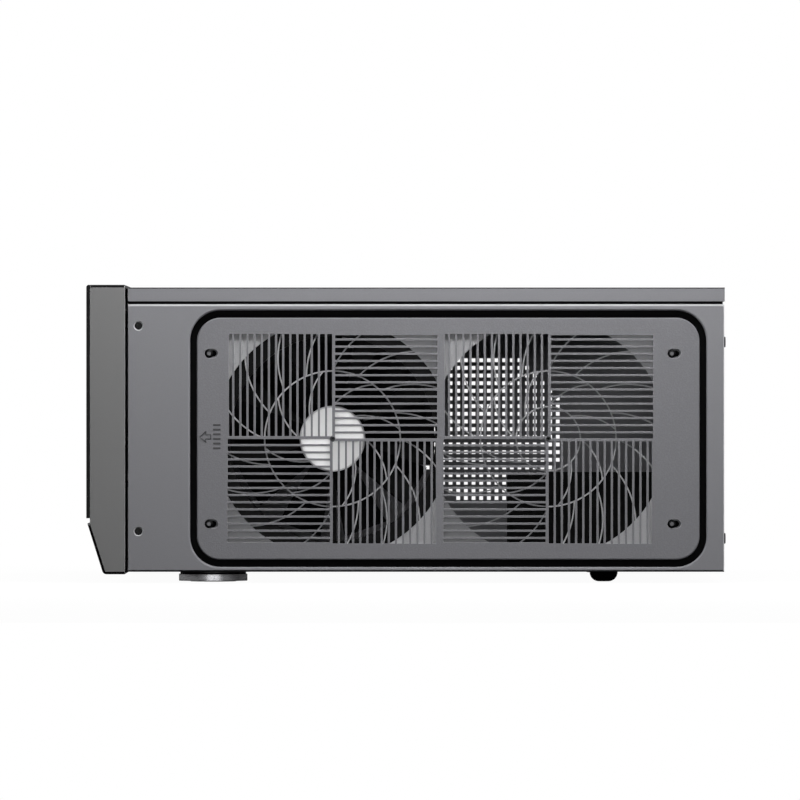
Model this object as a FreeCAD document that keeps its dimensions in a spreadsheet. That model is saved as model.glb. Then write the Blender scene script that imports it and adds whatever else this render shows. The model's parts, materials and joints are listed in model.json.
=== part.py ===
"""Horizontal desktop computer case: folded steel chassis, slatted side grille, fan and feet.

Frame: +X is the right-hand side seen from the front, the front faces -Y, +Z is up.
The origin is on the surface that the case stands on, under the middle of its outline.
"""
import FreeCAD, Part

import math
import os
from types import SimpleNamespace

import Sketcher

# Driving sizes in millimetres
SIZES = {
    # Overall form
    "case_width": 440.0,
    "case_depth": 358.0,
    "case_height": 167.0,
    "foot_height": 6.3,
    "gauge": 0.8,
    # Front moulding and its face plate
    "bezel_depth": 21.7,
    "bezel_clear": 4.9,
    "bezel_wall": 2.2,
    "bezel_round": 2.5,
    "plate_thick": 2.0,
    "plate_low": 36.3,
    "plate_round": 1.4,
    "chin_top": 33.5,
    "chin_proud": 1.5,
    "chin_slope": 9.0,
    "seam": 1.6,
    "clip_radius": 4.0,
    "clip_inset_x": 22.0,
    "clip_inset_z": 18.0,
    "clip_low": 80.0,
    # Side panels and cover
    "wall_inset": 1.0,
    "bezel_rise": 1.5,
    "cover_flange": 7.7,
    "cover_gap": 1.7,
    "cover_fit": 0.3,
    "lip_return": 10.0,
    "floor_fold": 14.0,
    "rear_fold": 8.0,
    "rivet_proud": 0.8,
    "rivet_radius": 3.0,
    "rivet_inset": 4.2,
    "rivet_low": 25.0,
    "rivet_from_top": 21.1,
    "shank_fit": 0.15,
    # Recess in the right side panel
    "recess_from_front": 34.8,
    "recess_from_rear": 10.0,
    "recess_lift": 0.3,
    "recess_from_top": 3.5,
    "recess_depth": 7.0,
    "recess_round": 17.0,
    "recess_edge": 1.2,
    "fan_bias": 4.4,
    "fan_pitch": 120.9,
    "fan_opening": 66.8,
    "opening_half": 58.9,
    # Slatted grille
    "grille_gap_y": 3.8,
    "grille_gap_z": 4.05,
    "grille_sink": 0.7,
    "grille_thick": 3.0,
    "grille_skirt": 2.2,
    "grille_edge": 0.8,
    "field_half": 58.7,
    "field_margin": 0.7,
    "slat_pitch": 4.0,
    "slat_space": 2.85,
    "arm_width": 1.6,
    "arm_shift": 0.65,
    "centre_boss": 1.75,
    "slide_fit": 0.3,
    "slide_travel": 2.4,
    # Guard plate behind the slats
    "guard_thick": 1.2,
    "guard_fit": 0.2,
    "rib_width": 0.8,
    "rib_hub": 18.0,
    "rib_ring": 38.0,
    # Studs that the grille hooks on
    "stud_neck": 1.5,
    "stud_head": 2.3,
    "stud_head_thick": 1.2,
    "stud_web": 1.0,
    "stud_from_front": 6.8,
    "stud_from_rear": 15.5,
    "stud_rise": 47.7,
    # Fan
    "fan_size": 120.0,
    "fan_thick": 25.0,
    "fan_round": 6.0,
    "fan_flange": 4.0,
    "fan_bore": 57.8,
    "fan_barrel": 61.5,
    "fan_hole_pitch": 105.0,
    "fan_hole": 2.2,
    "fan_screw_head": 3.2,
    "fan_screw_rise": 1.5,
    "fan_screw_length": 10.0,
    "hub_radius": 18.5,
    "hub_wall": 1.6,
    "hub_sink": 2.0,
    "hub_gap": 0.6,
    "motor_base": 20.0,
    "strut_width": 4.0,
    "bearing_radius": 4.0,
    "bearing_length": 14.0,
    "shaft_radius": 1.5,
    "shaft_fit": 0.05,
    "blade_tip": 54.0,
    "blade_thick": 1.4,
    "blade_cup": 1.8,
    "sticker_radius": 17.9,
    "sticker_thick": 0.2,
    # Rear panel
    "zone_step": 12.0,
    "zone_from_right": 32.0,
    "zone_width": 316.0,
    "zone_headroom": 12.4,
    "ledge_drop": 14.0,
    "io_from_zone": 165.5,
    "io_margin": 2.5,
    "io_width": 158.75,
    "io_low": 13.8,
    "io_height": 44.45,
    "slot_from_io": 14.5,
    "slot_pitch": 20.32,
    "slot_low": 18.0,
    "slot_drop": 8.0,
    "slot_width": 13.0,
    "rear_fan_from_io": 39.5,
    "rear_fan_pitch": 82.0,
    "rear_fan_drop": 47.0,
    "rear_fan_radius": 37.0,
    "rear_fan_hole_pitch": 71.5,
    "vent_pitch": 7.6,
    "vent_width": 4.4,
    "psu_from_left": 6.0,
    "psu_headroom": 5.5,
    "psu_frame": 11.0,
    "psu_hole": 2.0,
    "psu_hole_edge": 6.0,
    "psu_hole_step": 16.0,
    "psu_hole_drop": 30.0,
    # Expansion slot covers
    "bracket_width": 18.4,
    "bracket_low": 12.0,
    "bracket_tab": 10.8,
    "slot_screw_head": 3.2,
    "slot_screw_rise": 2.2,
    "slot_screw_shank": 1.6,
    "slot_screw_length": 4.0,
    # Left side vent
    "vent_from_rear": 126.6,
    "vent_rise": 4.2,
    "vent_radius": 47.0,
    "mesh_pitch": 4.6,
    "mesh_hole": 3.0,
    # Drive bay and inner sheets
    "bay_from_right": 125.5,
    "bay_width": 148.0,
    "bay_height": 42.0,
    "bay_from_top": 16.0,
    "bay_fit": 0.3,
    "bay_tab": 2.0,
    "bay_tab_thick": 1.5,
    "cage_clear": 0.7,
    "cage_height": 94.0,
    "cage_headroom": 3.4,
    "cage_depth": 170.9,
    "cage_flange": 10.0,
    "cage_slot_length": 50.0,
    "cage_slot_height": 4.0,
    "brace_width": 20.0,
    "brace_depth": 9.4,
    "psu_guide_gap": 16.6,
    "psu_guide_length": 100.0,
    "psu_guide_height": 52.0,
    "psu_guide_foot": 10.0,
    # Main board standoffs
    "board_margin": 8.4,
    "board_edge": 1.0,
    "board_hole_x": 16.51,
    "board_hole_y": 10.16,
    "board_middle_x": 124.46,
    "board_span_x": 281.94,
    "board_middle_y": 154.94,
    "board_span_y": 227.33,
    "standoff_height": 6.5,
    "standoff_radius": 3.4,
    "standoff_bore": 1.6,
    # Controls and ports in the face plate
    "control_height": 52.0,
    "power_from_left": 24.0,
    "power_radius": 5.8,
    "reset_pitch": 20.0,
    "reset_radius": 2.4,
    "button_fit": 0.4,
    "button_sink": 0.2,
    "button_flange": 1.6,
    "button_flange_thick": 1.5,
    "button_stem": 1.5,
    "button_travel": 1.2,
    "button_margin": 0.2,
    "switch_side": 6.0,
    "switch_rise": 2.6,
    "lens_radius": 1.5,
    "lens_gap": 12.0,
    "lens_pitch": 8.0,
    "board_thick": 1.6,
    "board_back": 6.0,
    "board_half_height": 9.0,
    "board_overhang": 9.0,
    "board_post": 2.0,
    "usb_from_jack": 40.0,
    "usb_pitch": 20.0,
    "usb_width": 13.1,
    "usb_height": 5.7,
    "usb_wall": 0.5,
    "usb_fit": 0.3,
    "usb_sink": 0.5,
    "tongue_width": 11.0,
    "tongue_thick": 1.9,
    "tongue_length": 9.0,
    "jack_from_right": 42.0,
    "jack_pitch": 14.0,
    "jack_barrel": 3.0,
    "jack_bore": 1.8,
    "jack_block": 8.0,
    # Feet
    "front_foot_y": 70.0,
    "rear_foot_from_rear": 67.2,
    "foot_inset": 62.0,
    "front_foot_radius": 18.6,
    "front_foot_stem": 15.0,
    "front_foot_band": 2.0,
    "foot_ring_radius": 19.35,
    "foot_ring_low": 0.4,
    "foot_ring_fit": 0.1,
    "foot_ring_round": 1.2,
    "foot_pad_radius": 13.0,
    "foot_pad_thick": 1.0,
    "rear_foot_radius": 7.9,
    "rear_foot_round": 5.2,
    # Screws in the side panels and the cover
    "panel_screw_y": 5.9,
    "panel_screw_low": 29.0,
    "panel_screw_from_top": 12.1,
    "panel_screw_radius": 2.0,
    "panel_screw_rise": 0.6,
    "panel_screw_length": 5.0,
    "front_fold": 14.0,
    "cover_screw_radius": 3.0,
    "cover_screw_shank": 1.5,
    "cover_screw_length": 5.0,
    "cover_screw_inset": 30.0,
    "sheet_clear": 0.2,
}

SLATS = 14
QUADRANTS = 4
BLADES = 9
INNER_RIBS = 8
OUTER_RIBS = 16
RIB_SWEEP_INNER = -37.0
RIB_SWEEP_OUTER = -21.0
RIB_BEND = 1.6
BLADE_ROOT_SLOPE = 0.72
BLADE_TIP_SLOPE = 2.0
BLADE_TIP_SHARE = 0.8
CAGE_SLOT_SHARE = 0.7
SAME_PLACE = 0.01
SAME_WAY = 0.999
SLOT_COUNT = 7
XY = "XY_Plane"
XZ = "XZ_Plane"
YZ = "YZ_Plane"

DOC = FreeCAD.newDocument("DesktopCase")
SHEET = DOC.addObject("Spreadsheet::Sheet", "Sizes")
NODES = {}


class Size:
    """A length with its value and the sheet expression that it comes from."""

    def __init__(self, text, value):
        self.text = text
        self.value = value

    def join(self, other, sign, value):
        return Size(f"({self.text} {sign} {other.text})", value)

    def __add__(self, other):
        other = as_size(other)
        return self.join(other, "+", self.value + other.value)

    def __sub__(self, other):
        other = as_size(other)
        return self.join(other, "-", self.value - other.value)

    def __mul__(self, other):
        other = as_size(other)
        return self.join(other, "*", self.value * other.value)

    def __truediv__(self, other):
        other = as_size(other)
        return self.join(other, "/", self.value / other.value)

    def __rsub__(self, other):
        return as_size(other) - self

    def __neg__(self):
        return Size(f"(0 - {self.text})", -self.value)

    __radd__ = __add__
    __rmul__ = __mul__

    def root(self):
        return Size(f"sqrt({self.text})", math.sqrt(self.value))


def as_size(number):
    if isinstance(number, Size):
        return number
    return Size(f"({float(number)!r})", float(number))


def fill_sheet():
    """Write the driving sizes into the sheet and return them as named sizes."""
    for row, (name, value) in enumerate(SIZES.items(), start=1):
        SHEET.set(f"A{row}", name)
        SHEET.set(f"B{row}", str(value))
        SHEET.setAlias(f"B{row}", name)
    DOC.recompute()
    return SimpleNamespace(**{name: Size(f"Sizes.{name}", value) for name, value in SIZES.items()})


def bind(target, path, size):
    target.setExpression(path, as_size(size).text)


def polar(radius, degrees):
    """The point at a radius and an angle, as two sizes."""
    angle = math.radians(degrees)
    return radius * math.cos(angle), radius * math.sin(angle)


# Outlines: loops of (points, arcs); arcs[i] bends the edge after point i, with no radius for a half circle

def polygon(points):
    return [(points, {})]


def rect(left, right, low, high):
    return polygon([(left, low), (right, low), (right, high), (left, high)])


def rounded(left, right, low, high, radius):
    points = [(left + radius, low), (right - radius, low), (right, low + radius), (right, high - radius),
              (right - radius, high), (left + radius, high), (left, high - radius), (left, low + radius)]
    centres = {1: (right - radius, low + radius), 3: (right - radius, high - radius),
               5: (left + radius, high - radius), 7: (left + radius, low + radius)}
    return [(points, {i: (centre, radius, True) for i, centre in centres.items()})]


def obround(start, end, middle, radius):
    points = [(start, middle - radius), (end, middle - radius),
              (end, middle + radius), (start, middle + radius)]
    return [(points, {1: ((end, middle), None, True), 3: ((start, middle), None, True)})]


def clipped_circle(u, v, radius, half):
    """A circle cut off by the four sides of a square."""
    reach = (radius * radius - half * half).root()
    points = [(u - reach, v - half), (u + reach, v - half), (u + half, v - reach), (u + half, v + reach),
              (u + reach, v + half), (u - reach, v + half), (u - half, v + reach), (u - half, v - reach)]
    return [(points, {i: ((u, v), radius, True) for i in (1, 3, 5, 7)})]


def circle(u, v, radius):
    return [((u, v), radius)]


def swirl(start_radius, end_radius, sweep, width):
    """A curved rib from one radius to another, bent to follow the turning air."""
    half = width / 2
    inner = polar(start_radius, 0.0)
    outer = polar(end_radius, sweep)
    chord_x = outer[0].value - inner[0].value
    chord_y = outer[1].value - inner[1].value
    chord = math.hypot(chord_x, chord_y)
    normal = (-chord_y / chord, chord_x / chord)
    bend = (end_radius - start_radius) * RIB_BEND
    depth = math.sqrt(bend.value ** 2 - (chord / 2) ** 2)
    middle = ((inner[0].value + outer[0].value) / 2, (inner[1].value + outer[1].value) / 2)
    centre = (middle[0] - normal[0] * depth, middle[1] - normal[1] * depth)
    points = [(inner[0] + half * normal[0], inner[1] + half * normal[1]),
              (inner[0] - half * normal[0], inner[1] - half * normal[1]),
              (outer[0] - half * normal[0], outer[1] - half * normal[1]),
              (outer[0] + half * normal[0], outer[1] + half * normal[1])]
    return [(points, {1: (centre, bend, False), 3: (centre, bend, True)})]


class SketchPen:
    """Draws outlines into a sketch and pins every point to the sheet."""

    def __init__(self, sketch):
        self.sketch = sketch
        self.constraints = []
        self.texts = []

    def hold(self, constraint, size=None):
        self.constraints.append(constraint)
        self.texts.append(size.text if size is not None else None)

    def pin(self, geometry, position, u, v):
        self.hold(Sketcher.Constraint("DistanceX", -1, 1, geometry, position, u.value), u)
        self.hold(Sketcher.Constraint("DistanceY", -1, 1, geometry, position, v.value), v)

    def draw(self, loops):
        for first, second in loops:
            if isinstance(second, Size):
                self.draw_circle(first, second)
            else:
                self.draw_loop(first, second)

    def draw_circle(self, centre, radius):
        u, v = (as_size(c) for c in centre)
        curve = Part.Circle(FreeCAD.Vector(u.value, v.value, 0), FreeCAD.Vector(0, 0, 1), radius.value)
        geometry = self.sketch.addGeometry(curve, False)
        self.hold(Sketcher.Constraint("Radius", geometry, radius.value), radius)
        self.pin(geometry, 3, u, v)

    def draw_loop(self, points, arcs):
        points = [(as_size(u), as_size(v)) for u, v in points]
        flat = [FreeCAD.Vector(u.value, v.value, 0) for u, v in points]
        ends = []
        for i, start in enumerate(flat):
            end = flat[(i + 1) % len(flat)]
            ends.append(self.draw_edge(start, end, arcs.get(i)))
        for i, (geometry, first, last) in enumerate(ends):
            following = ends[(i + 1) % len(ends)]
            self.hold(Sketcher.Constraint("Coincident", geometry, last, following[0], following[1]))
            self.pin(geometry, first, *points[i])

    def draw_edge(self, start, end, arc):
        if arc is None:
            return self.sketch.addGeometry(Part.LineSegment(start, end), False), 1, 2
        centre, radius, forward = arc
        middle = FreeCAD.Vector(as_size(centre[0]).value, as_size(centre[1]).value, 0)
        low, high = (start, end) if forward else (end, start)
        first = math.atan2(low.y - middle.y, low.x - middle.x)
        last = math.atan2(high.y - middle.y, high.x - middle.x)
        if last <= first:
            last += 2 * math.pi
        round_edge = Part.Circle(middle, FreeCAD.Vector(0, 0, 1), low.distanceToPoint(middle))
        geometry = self.sketch.addGeometry(Part.ArcOfCircle(round_edge, first, last), False)
        if radius is None:
            self.hold(Sketcher.Constraint("DistanceX", -1, 1, geometry, 3, middle.x), as_size(centre[0]))
        else:
            self.hold(Sketcher.Constraint("Radius", geometry, as_size(radius).value), as_size(radius))
        return (geometry, 1, 2) if forward else (geometry, 2, 1)

    def finish(self):
        first = self.sketch.ConstraintCount
        self.sketch.addConstraint(self.constraints)
        for i, text in enumerate(self.texts):
            if text is not None:
                self.sketch.setExpression(f"Constraints[{first + i}]", text)


class Piece:
    """One solid made of pads and pockets between named levels."""

    def __init__(self, label, node=True):
        self.body = DOC.addObject("PartDesign::Body", label)
        if node:
            NODES[label] = self.body

    def sketch(self, plane, level, loops, centre=None):
        sketch = self.body.newObject("Sketcher::SketchObject", "outline")
        origin = next(f for f in self.body.Origin.OriginFeatures if f.Role == plane)
        sketch.AttachmentSupport = [(origin, "")]
        sketch.MapMode = "FlatFace"
        bind(sketch, "AttachmentOffset.Base.z", -as_size(level) if plane == XZ else level)
        if centre is not None:
            bind(sketch, "AttachmentOffset.Base.x", centre[0])
            bind(sketch, "AttachmentOffset.Base.y", centre[1])
        pen = SketchPen(sketch)
        for loop in loops:
            pen.draw(loop)
        pen.finish()
        return sketch

    def add(self, plane, low, high, *loops, centre=None):
        """Pad the outlines between two levels along the plane's axis."""
        sketch = self.sketch(plane, high if plane == XZ else low, loops, centre)
        pad = self.body.newObject("PartDesign::Pad", "pad")
        pad.Profile = sketch
        pad.Refine = False
        bind(pad, "Length", as_size(high) - low)
        return pad

    def take(self, plane, low, high, *loops, centre=None):
        """Pocket the outlines between two levels along the plane's axis."""
        sketch = self.sketch(plane, low if plane == XZ else high, loops, centre)
        pocket = self.body.newObject("PartDesign::Pocket", "pocket")
        pocket.Profile = sketch
        pocket.Refine = False
        bind(pocket, "Length", as_size(high) - low)
        return pocket

    def turn(self, plane, level, loop, centre=None):
        """Revolve an outline about the sketch's upright axis."""
        sketch = self.sketch(plane, level, [loop], centre)
        revolution = self.body.newObject("PartDesign::Revolution", "turned")
        revolution.Profile = sketch
        revolution.ReferenceAxis = (sketch, ["V_Axis"])
        revolution.Angle = 360.0
        return revolution

    def loft(self, plane, first, second):
        """Blend two outlines, each given with its level."""
        sections = [self.sketch(plane, level, [loop], centre) for level, loop, centre in (first, second)]
        loft = self.body.newObject("PartDesign::AdditiveLoft", "loft")
        loft.Profile = sections[0]
        loft.Sections = [sections[1]]
        loft.Ruled = True
        return loft

    def around(self, feature, axis_sketch, count):
        """Repeat a feature evenly about the axis through a sketch's origin."""
        pattern = self.body.newObject("PartDesign::PolarPattern", "around")
        pattern.Originals = [feature]
        pattern.Axis = (axis_sketch, ["N_Axis"])
        pattern.Angle = 360.0
        pattern.Occurrences = count
        pattern.Refine = False
        self.body.Tip = pattern
        return pattern

    def soften(self, choose, radius):
        """Round the edges that a test picks."""
        DOC.recompute()
        tip = self.body.Tip
        names = [f"Edge{i}" for i, edge in enumerate(tip.Shape.Edges, start=1) if choose(edge)]
        fillet = self.body.newObject("PartDesign::Fillet", "soft")
        fillet.Base = (tip, names)
        bind(fillet, "Radius", radius)
        return fillet


def along(axis):
    """A test for straight edges that run along an axis."""
    def test(edge):
        if edge.Curve.TypeId != "Part::GeomLine":
            return False
        return abs(edge.Curve.Direction.dot(axis)) > SAME_WAY
    return test


def within(edge, level, left, right_end, low, high):
    """Whether an edge lies in the upright plane X = level, inside a rectangle of Y and Z."""
    box = edge.BoundBox
    flat = abs(box.XMin - level.value) < SAME_PLACE and abs(box.XMax - level.value) < SAME_PLACE
    inside_y = box.YMin > left.value - SAME_PLACE and box.YMax < right_end.value + SAME_PLACE
    inside_z = box.ZMin > low.value - SAME_PLACE and box.ZMax < high.value + SAME_PLACE
    return flat and inside_y and inside_z


def near(edge, **place):
    """Whether the middle of an edge lies at the given coordinates."""
    middle = edge.BoundBox.Center
    return all(abs(getattr(middle, axis) - size.value) < SAME_PLACE for axis, size in place.items())


TURNS = {"X": FreeCAD.Rotation(FreeCAD.Vector(0, 1, 0), 90),
         "Y": FreeCAD.Rotation(FreeCAD.Vector(1, 0, 0), -90),
         "Z": FreeCAD.Rotation()}


def rod(axis, start, radius, length):
    """A cylinder from a start point along +X, +Y or +Z."""
    item = DOC.addObject("Part::Cylinder", "rod")
    item.Placement = FreeCAD.Placement(FreeCAD.Vector(), TURNS[axis])
    bind(item, "Radius", radius)
    bind(item, "Height", length)
    for name, size in zip("xyz", start):
        bind(item, f"Placement.Base.{name}", size)
    return item


def fuse(*items):
    joined = DOC.addObject("Part::MultiFuse", "joined")
    joined.Shapes = list(items)
    return joined


def group(label, items):
    compound = DOC.addObject("Part::Compound", label)
    compound.Links = list(items)
    NODES[label] = compound


def shifted(point, axis, distance):
    place = dict(zip("XYZ", point))
    place[axis] = place[axis] + distance
    return tuple(place.values())


def screw(axis, seat, outward, head, rise, shank, length):
    """A low round-head screw: the head stands out from its seat, the shank goes in."""
    if outward > 0:
        return fuse(rod(axis, seat, head, rise), rod(axis, shifted(seat, axis, -length), shank, length))
    return fuse(rod(axis, shifted(seat, axis, -rise), head, rise), rod(axis, seat, shank, length))


s = fill_sheet()

# Levels that several pieces share
right = s.case_width / 2
front = -s.case_depth / 2
rear = s.case_depth / 2
wall_out = right - s.wall_inset
wall_in = wall_out - s.gauge
plate_back = front + s.plate_thick
bezel_in = plate_back + s.bezel_wall
bezel_back = front + s.bezel_depth
wall_front = bezel_back + s.seam
frame_back = wall_front + s.gauge
wall_rear = rear - s.rivet_proud
panel_out = wall_rear - s.gauge
panel_in = panel_out - s.gauge
zone_out = panel_out - s.zone_step
zone_in = zone_out - s.gauge
floor_low = s.foot_height
pan_low = floor_low + s.gauge
pan_top = pan_low + s.gauge
cover_top = s.case_height - s.bezel_rise
cover_low = cover_top - s.gauge
flange_low = cover_top - s.cover_flange
wall_top = flange_low - s.cover_gap
shoulder = wall_top - s.gauge
lip_top = cover_low - s.cover_fit
lip_out = wall_in - s.cover_fit
lip_in = lip_out - s.gauge
inner_top = lip_top - s.gauge - s.sheet_clear
inner_side = lip_in - s.sheet_clear
recess_front = wall_front + s.recess_from_front
recess_rear = wall_rear - s.recess_from_rear
recess_low = pan_top + s.gauge + s.recess_lift
recess_high = wall_top - s.recess_from_top
recess_out = wall_out - s.recess_depth
recess_in = recess_out - s.gauge
fan_z = (recess_low + recess_high) / 2
fan_first = (recess_front + recess_rear - s.fan_pitch) / 2 - s.fan_bias
fan_places = [fan_first, fan_first + s.fan_pitch]
fan_front = recess_in
fan_back = fan_front - s.fan_thick
grille_front = recess_front + s.grille_gap_y
grille_rear = recess_rear - s.grille_gap_y
grille_low = recess_low + s.grille_gap_z
grille_high = recess_high - s.grille_gap_z
grille_round = s.recess_round - s.grille_gap_y
grille_face = wall_out - s.grille_sink
slat_back = grille_face - s.grille_thick
grille_back = recess_out + s.slide_fit
guard_back = slat_back - s.guard_thick
studs = [(y, z) for y in (grille_front + s.stud_from_front, grille_rear - s.stud_from_rear)
         for z in (fan_z - s.stud_rise, fan_z + s.stud_rise)]
rivet_high = wall_top - s.rivet_from_top
panel_screw_high = wall_top - s.panel_screw_from_top
zone_right = right - s.zone_from_right
zone_left = zone_right - s.zone_width
zone_top = inner_top - s.zone_headroom
ledge_height = zone_top - s.ledge_drop
io_left = zone_right - s.io_from_zone
io_zone_left = io_left - s.io_margin
slot_first = io_left - s.slot_from_io
slot_high = ledge_height - s.slot_drop
rear_fan_first = io_left + s.rear_fan_from_io
rear_fan_height = zone_top - s.rear_fan_drop
psu_left = s.psu_from_left - right
psu_width = zone_left - psu_left
psu_top = inner_top - s.psu_headroom
psu_guide_rear = panel_in - s.psu_guide_gap
psu_guide_front = psu_guide_rear - s.psu_guide_length
vent_centre = panel_in - s.vent_from_rear
vent_height = fan_z + s.vent_rise
board_left = zone_left + s.board_margin
power_x = s.power_from_left - right
reset_x = power_x + s.reset_pitch
power_lens_x = reset_x + s.lens_gap
drive_lens_x = power_lens_x + s.lens_pitch
jack_first = right - s.jack_from_right
usb_first = jack_first - s.usb_from_jack
cover_screw_span = right - s.cover_screw_inset
cage_high = inner_top - s.cage_headroom
cage_low = cage_high - s.cage_height
cage_rear = frame_back + s.cage_depth
bay_centre = right - s.bay_from_right
bay_high = s.case_height - s.bay_from_top
bay_low = bay_high - s.bay_height
bay_left = bay_centre - s.bay_width / 2
bay_right = bay_centre + s.bay_width / 2
board_face = bezel_back - s.board_back


def fan_holes(y, radius):
    half = s.fan_hole_pitch / 2
    return [circle(y + i * half, fan_z + j * half, radius) for i in (-1, 1) for j in (-1, 1)]


def side_profile(side):
    """Section of a side panel: floor fold, wall, step, lip and return, as one bent sheet."""
    fold = wall_out - s.floor_fold
    back = lip_out - s.lip_return
    points = [(wall_out, floor_low), (wall_out, wall_top), (lip_out, wall_top), (lip_out, lip_top),
              (back, lip_top), (back, lip_top - s.gauge), (lip_in, lip_top - s.gauge), (lip_in, shoulder),
              (wall_in, shoulder), (wall_in, pan_low), (fold, pan_low), (fold, floor_low)]
    return polygon([(side * x, z) for x, z in points])


def side_panel(label, side, node=True):
    """A folded side panel with its rear fold and the holes for screws and rivets."""
    piece = Piece(label, node)
    piece.add(XZ, wall_front, wall_rear, side_profile(side))
    edges = [side * (wall_out - s.rear_fold), side * wall_out]
    low, high = edges if side > 0 else edges[::-1]
    piece.add(XZ, panel_out, wall_rear, rect(low, high, floor_low, wall_top))
    lip_edges = [side * (lip_out - s.lip_return), side * lip_out]
    low, high = lip_edges if side > 0 else lip_edges[::-1]
    piece.take(XY, wall_top, lip_top, rect(low, high, panel_in, wall_rear))
    rivet_x = side * (wall_out - s.rivet_inset)
    hole = s.rivet_radius / 2 + s.shank_fit
    piece.take(XZ, panel_out, wall_rear, *[circle(rivet_x, z, hole) for z in (s.rivet_low, rivet_high)])
    hole = s.panel_screw_radius + s.shank_fit
    heights = (s.panel_screw_low, panel_screw_high)
    faces = (wall_in, wall_out) if side > 0 else (-wall_out, -wall_in)
    piece.take(YZ, *faces, *[circle(wall_front + s.panel_screw_y, z, hole) for z in heights])
    return piece


def build_right_panel():
    piece = side_panel("right_side_panel", 1)
    g = s.gauge
    outer = rounded(recess_front - g, recess_rear + g, recess_low - g, recess_high + g, s.recess_round + g)
    inner = rounded(recess_front, recess_rear, recess_low, recess_high, s.recess_round)
    piece.add(YZ, recess_in, wall_out, outer)
    piece.take(YZ, recess_out, wall_out, inner)
    piece.soften(lambda e: within(e, wall_out, recess_front, recess_rear, recess_low, recess_high),
                 s.recess_edge)
    openings = [clipped_circle(y, fan_z, s.fan_opening, s.opening_half) for y in fan_places]
    holes = [hole for y in fan_places for hole in fan_holes(y, s.fan_hole)]
    piece.take(YZ, recess_in, recess_out, *openings, *holes)


def build_left_panel():
    sheet = side_panel("left_sheet", -1, node=False)
    pitch = s.mesh_pitch.value
    hole = s.mesh_hole.value
    reach = s.vent_radius.value - hole / 2
    steps = int(reach // pitch)
    holes = []
    for i in range(-steps, steps + 1):
        for j in range(-steps, steps + 1):
            if math.hypot(i * pitch, j * pitch) > reach:
                continue
            corner = FreeCAD.Vector(-wall_out.value - hole, vent_centre.value + i * pitch - hole / 2,
                                    vent_height.value + j * pitch - hole / 2)
            holes.append(Part.makeBox(3 * hole, hole, hole, corner))
    mesh = DOC.addObject("Part::Feature", "vent_holes")
    mesh.Shape = Part.makeCompound(holes)
    panel = DOC.addObject("Part::Cut", "left_side_panel")
    panel.Base = sheet.body
    panel.Tool = mesh
    NODES["left_side_panel"] = panel


def build_pan():
    piece = Piece("base_pan")
    piece.add(XY, pan_low, pan_top, rect(-wall_in, wall_in, frame_back, panel_in))


def build_front_frame():
    """Steel front wall behind the moulding, with side folds and windows."""
    piece = Piece("front_frame")
    piece.add(XZ, wall_front, frame_back, polygon([
        (-wall_in, pan_low), (wall_in, pan_low), (wall_in, shoulder), (inner_side, shoulder),
        (inner_side, inner_top), (-inner_side, inner_top), (-inner_side, shoulder), (-wall_in, shoulder)]))
    fold_end = wall_front + s.front_fold
    for low, high in ((wall_in - s.gauge, wall_in), (-wall_in, -wall_in + s.gauge)):
        piece.add(XY, pan_top, shoulder, rect(low, high, frame_back, fold_end))
    hole = s.panel_screw_radius + s.shank_fit
    spots = [circle(wall_front + s.panel_screw_y, z, hole) for z in (s.panel_screw_low, panel_screw_high)]
    piece.take(YZ, wall_in - s.gauge, wall_in, *spots)
    piece.take(YZ, -wall_in, -wall_in + s.gauge, *spots)
    window = s.board_half_height
    low = s.control_height - window
    high = s.control_height + window
    piece.take(XZ, wall_front, frame_back, rect(bay_left, bay_right, bay_low, bay_high),
               rect(power_x, drive_lens_x, low, high),
               rect(usb_first, jack_first, low, high))


def build_rear_panel():
    """Flat rear sheet around the board zone, with the power supply opening."""
    piece = Piece("rear_panel")
    piece.add(XZ, panel_in, panel_out, polygon([
        (-wall_in, pan_low), (wall_in, pan_low), (wall_in, shoulder), (inner_side, shoulder),
        (inner_side, inner_top), (-inner_side, inner_top), (-inner_side, shoulder), (-wall_in, shoulder)]))
    piece.take(XZ, panel_in, panel_out, polygon(zone_outline(as_size(0.0))))
    piece.take(XZ, panel_in, panel_out, *supply_cuts())
    rivet_hole = s.rivet_radius / 2 + s.shank_fit
    rivet_x = wall_out - s.rivet_inset
    rivets = [circle(x, z, rivet_hole) for x in (rivet_x, -rivet_x) for z in (s.rivet_low, rivet_high)]
    screw_hole = s.cover_screw_shank + s.shank_fit
    screws = [circle(x, cover_screw_z, screw_hole) for x in cover_screw_places()]
    piece.take(XZ, panel_in, panel_out, *rivets, *screws)


def zone_outline(inset):
    """Outline of the board zone: a step up from the slots to the ports."""
    return [(zone_left + inset, pan_top + inset), (zone_right - inset, pan_top + inset),
            (zone_right - inset, zone_top - inset), (io_zone_left + inset, zone_top - inset),
            (io_zone_left + inset, ledge_height - inset), (zone_left + inset, ledge_height - inset)]


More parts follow.
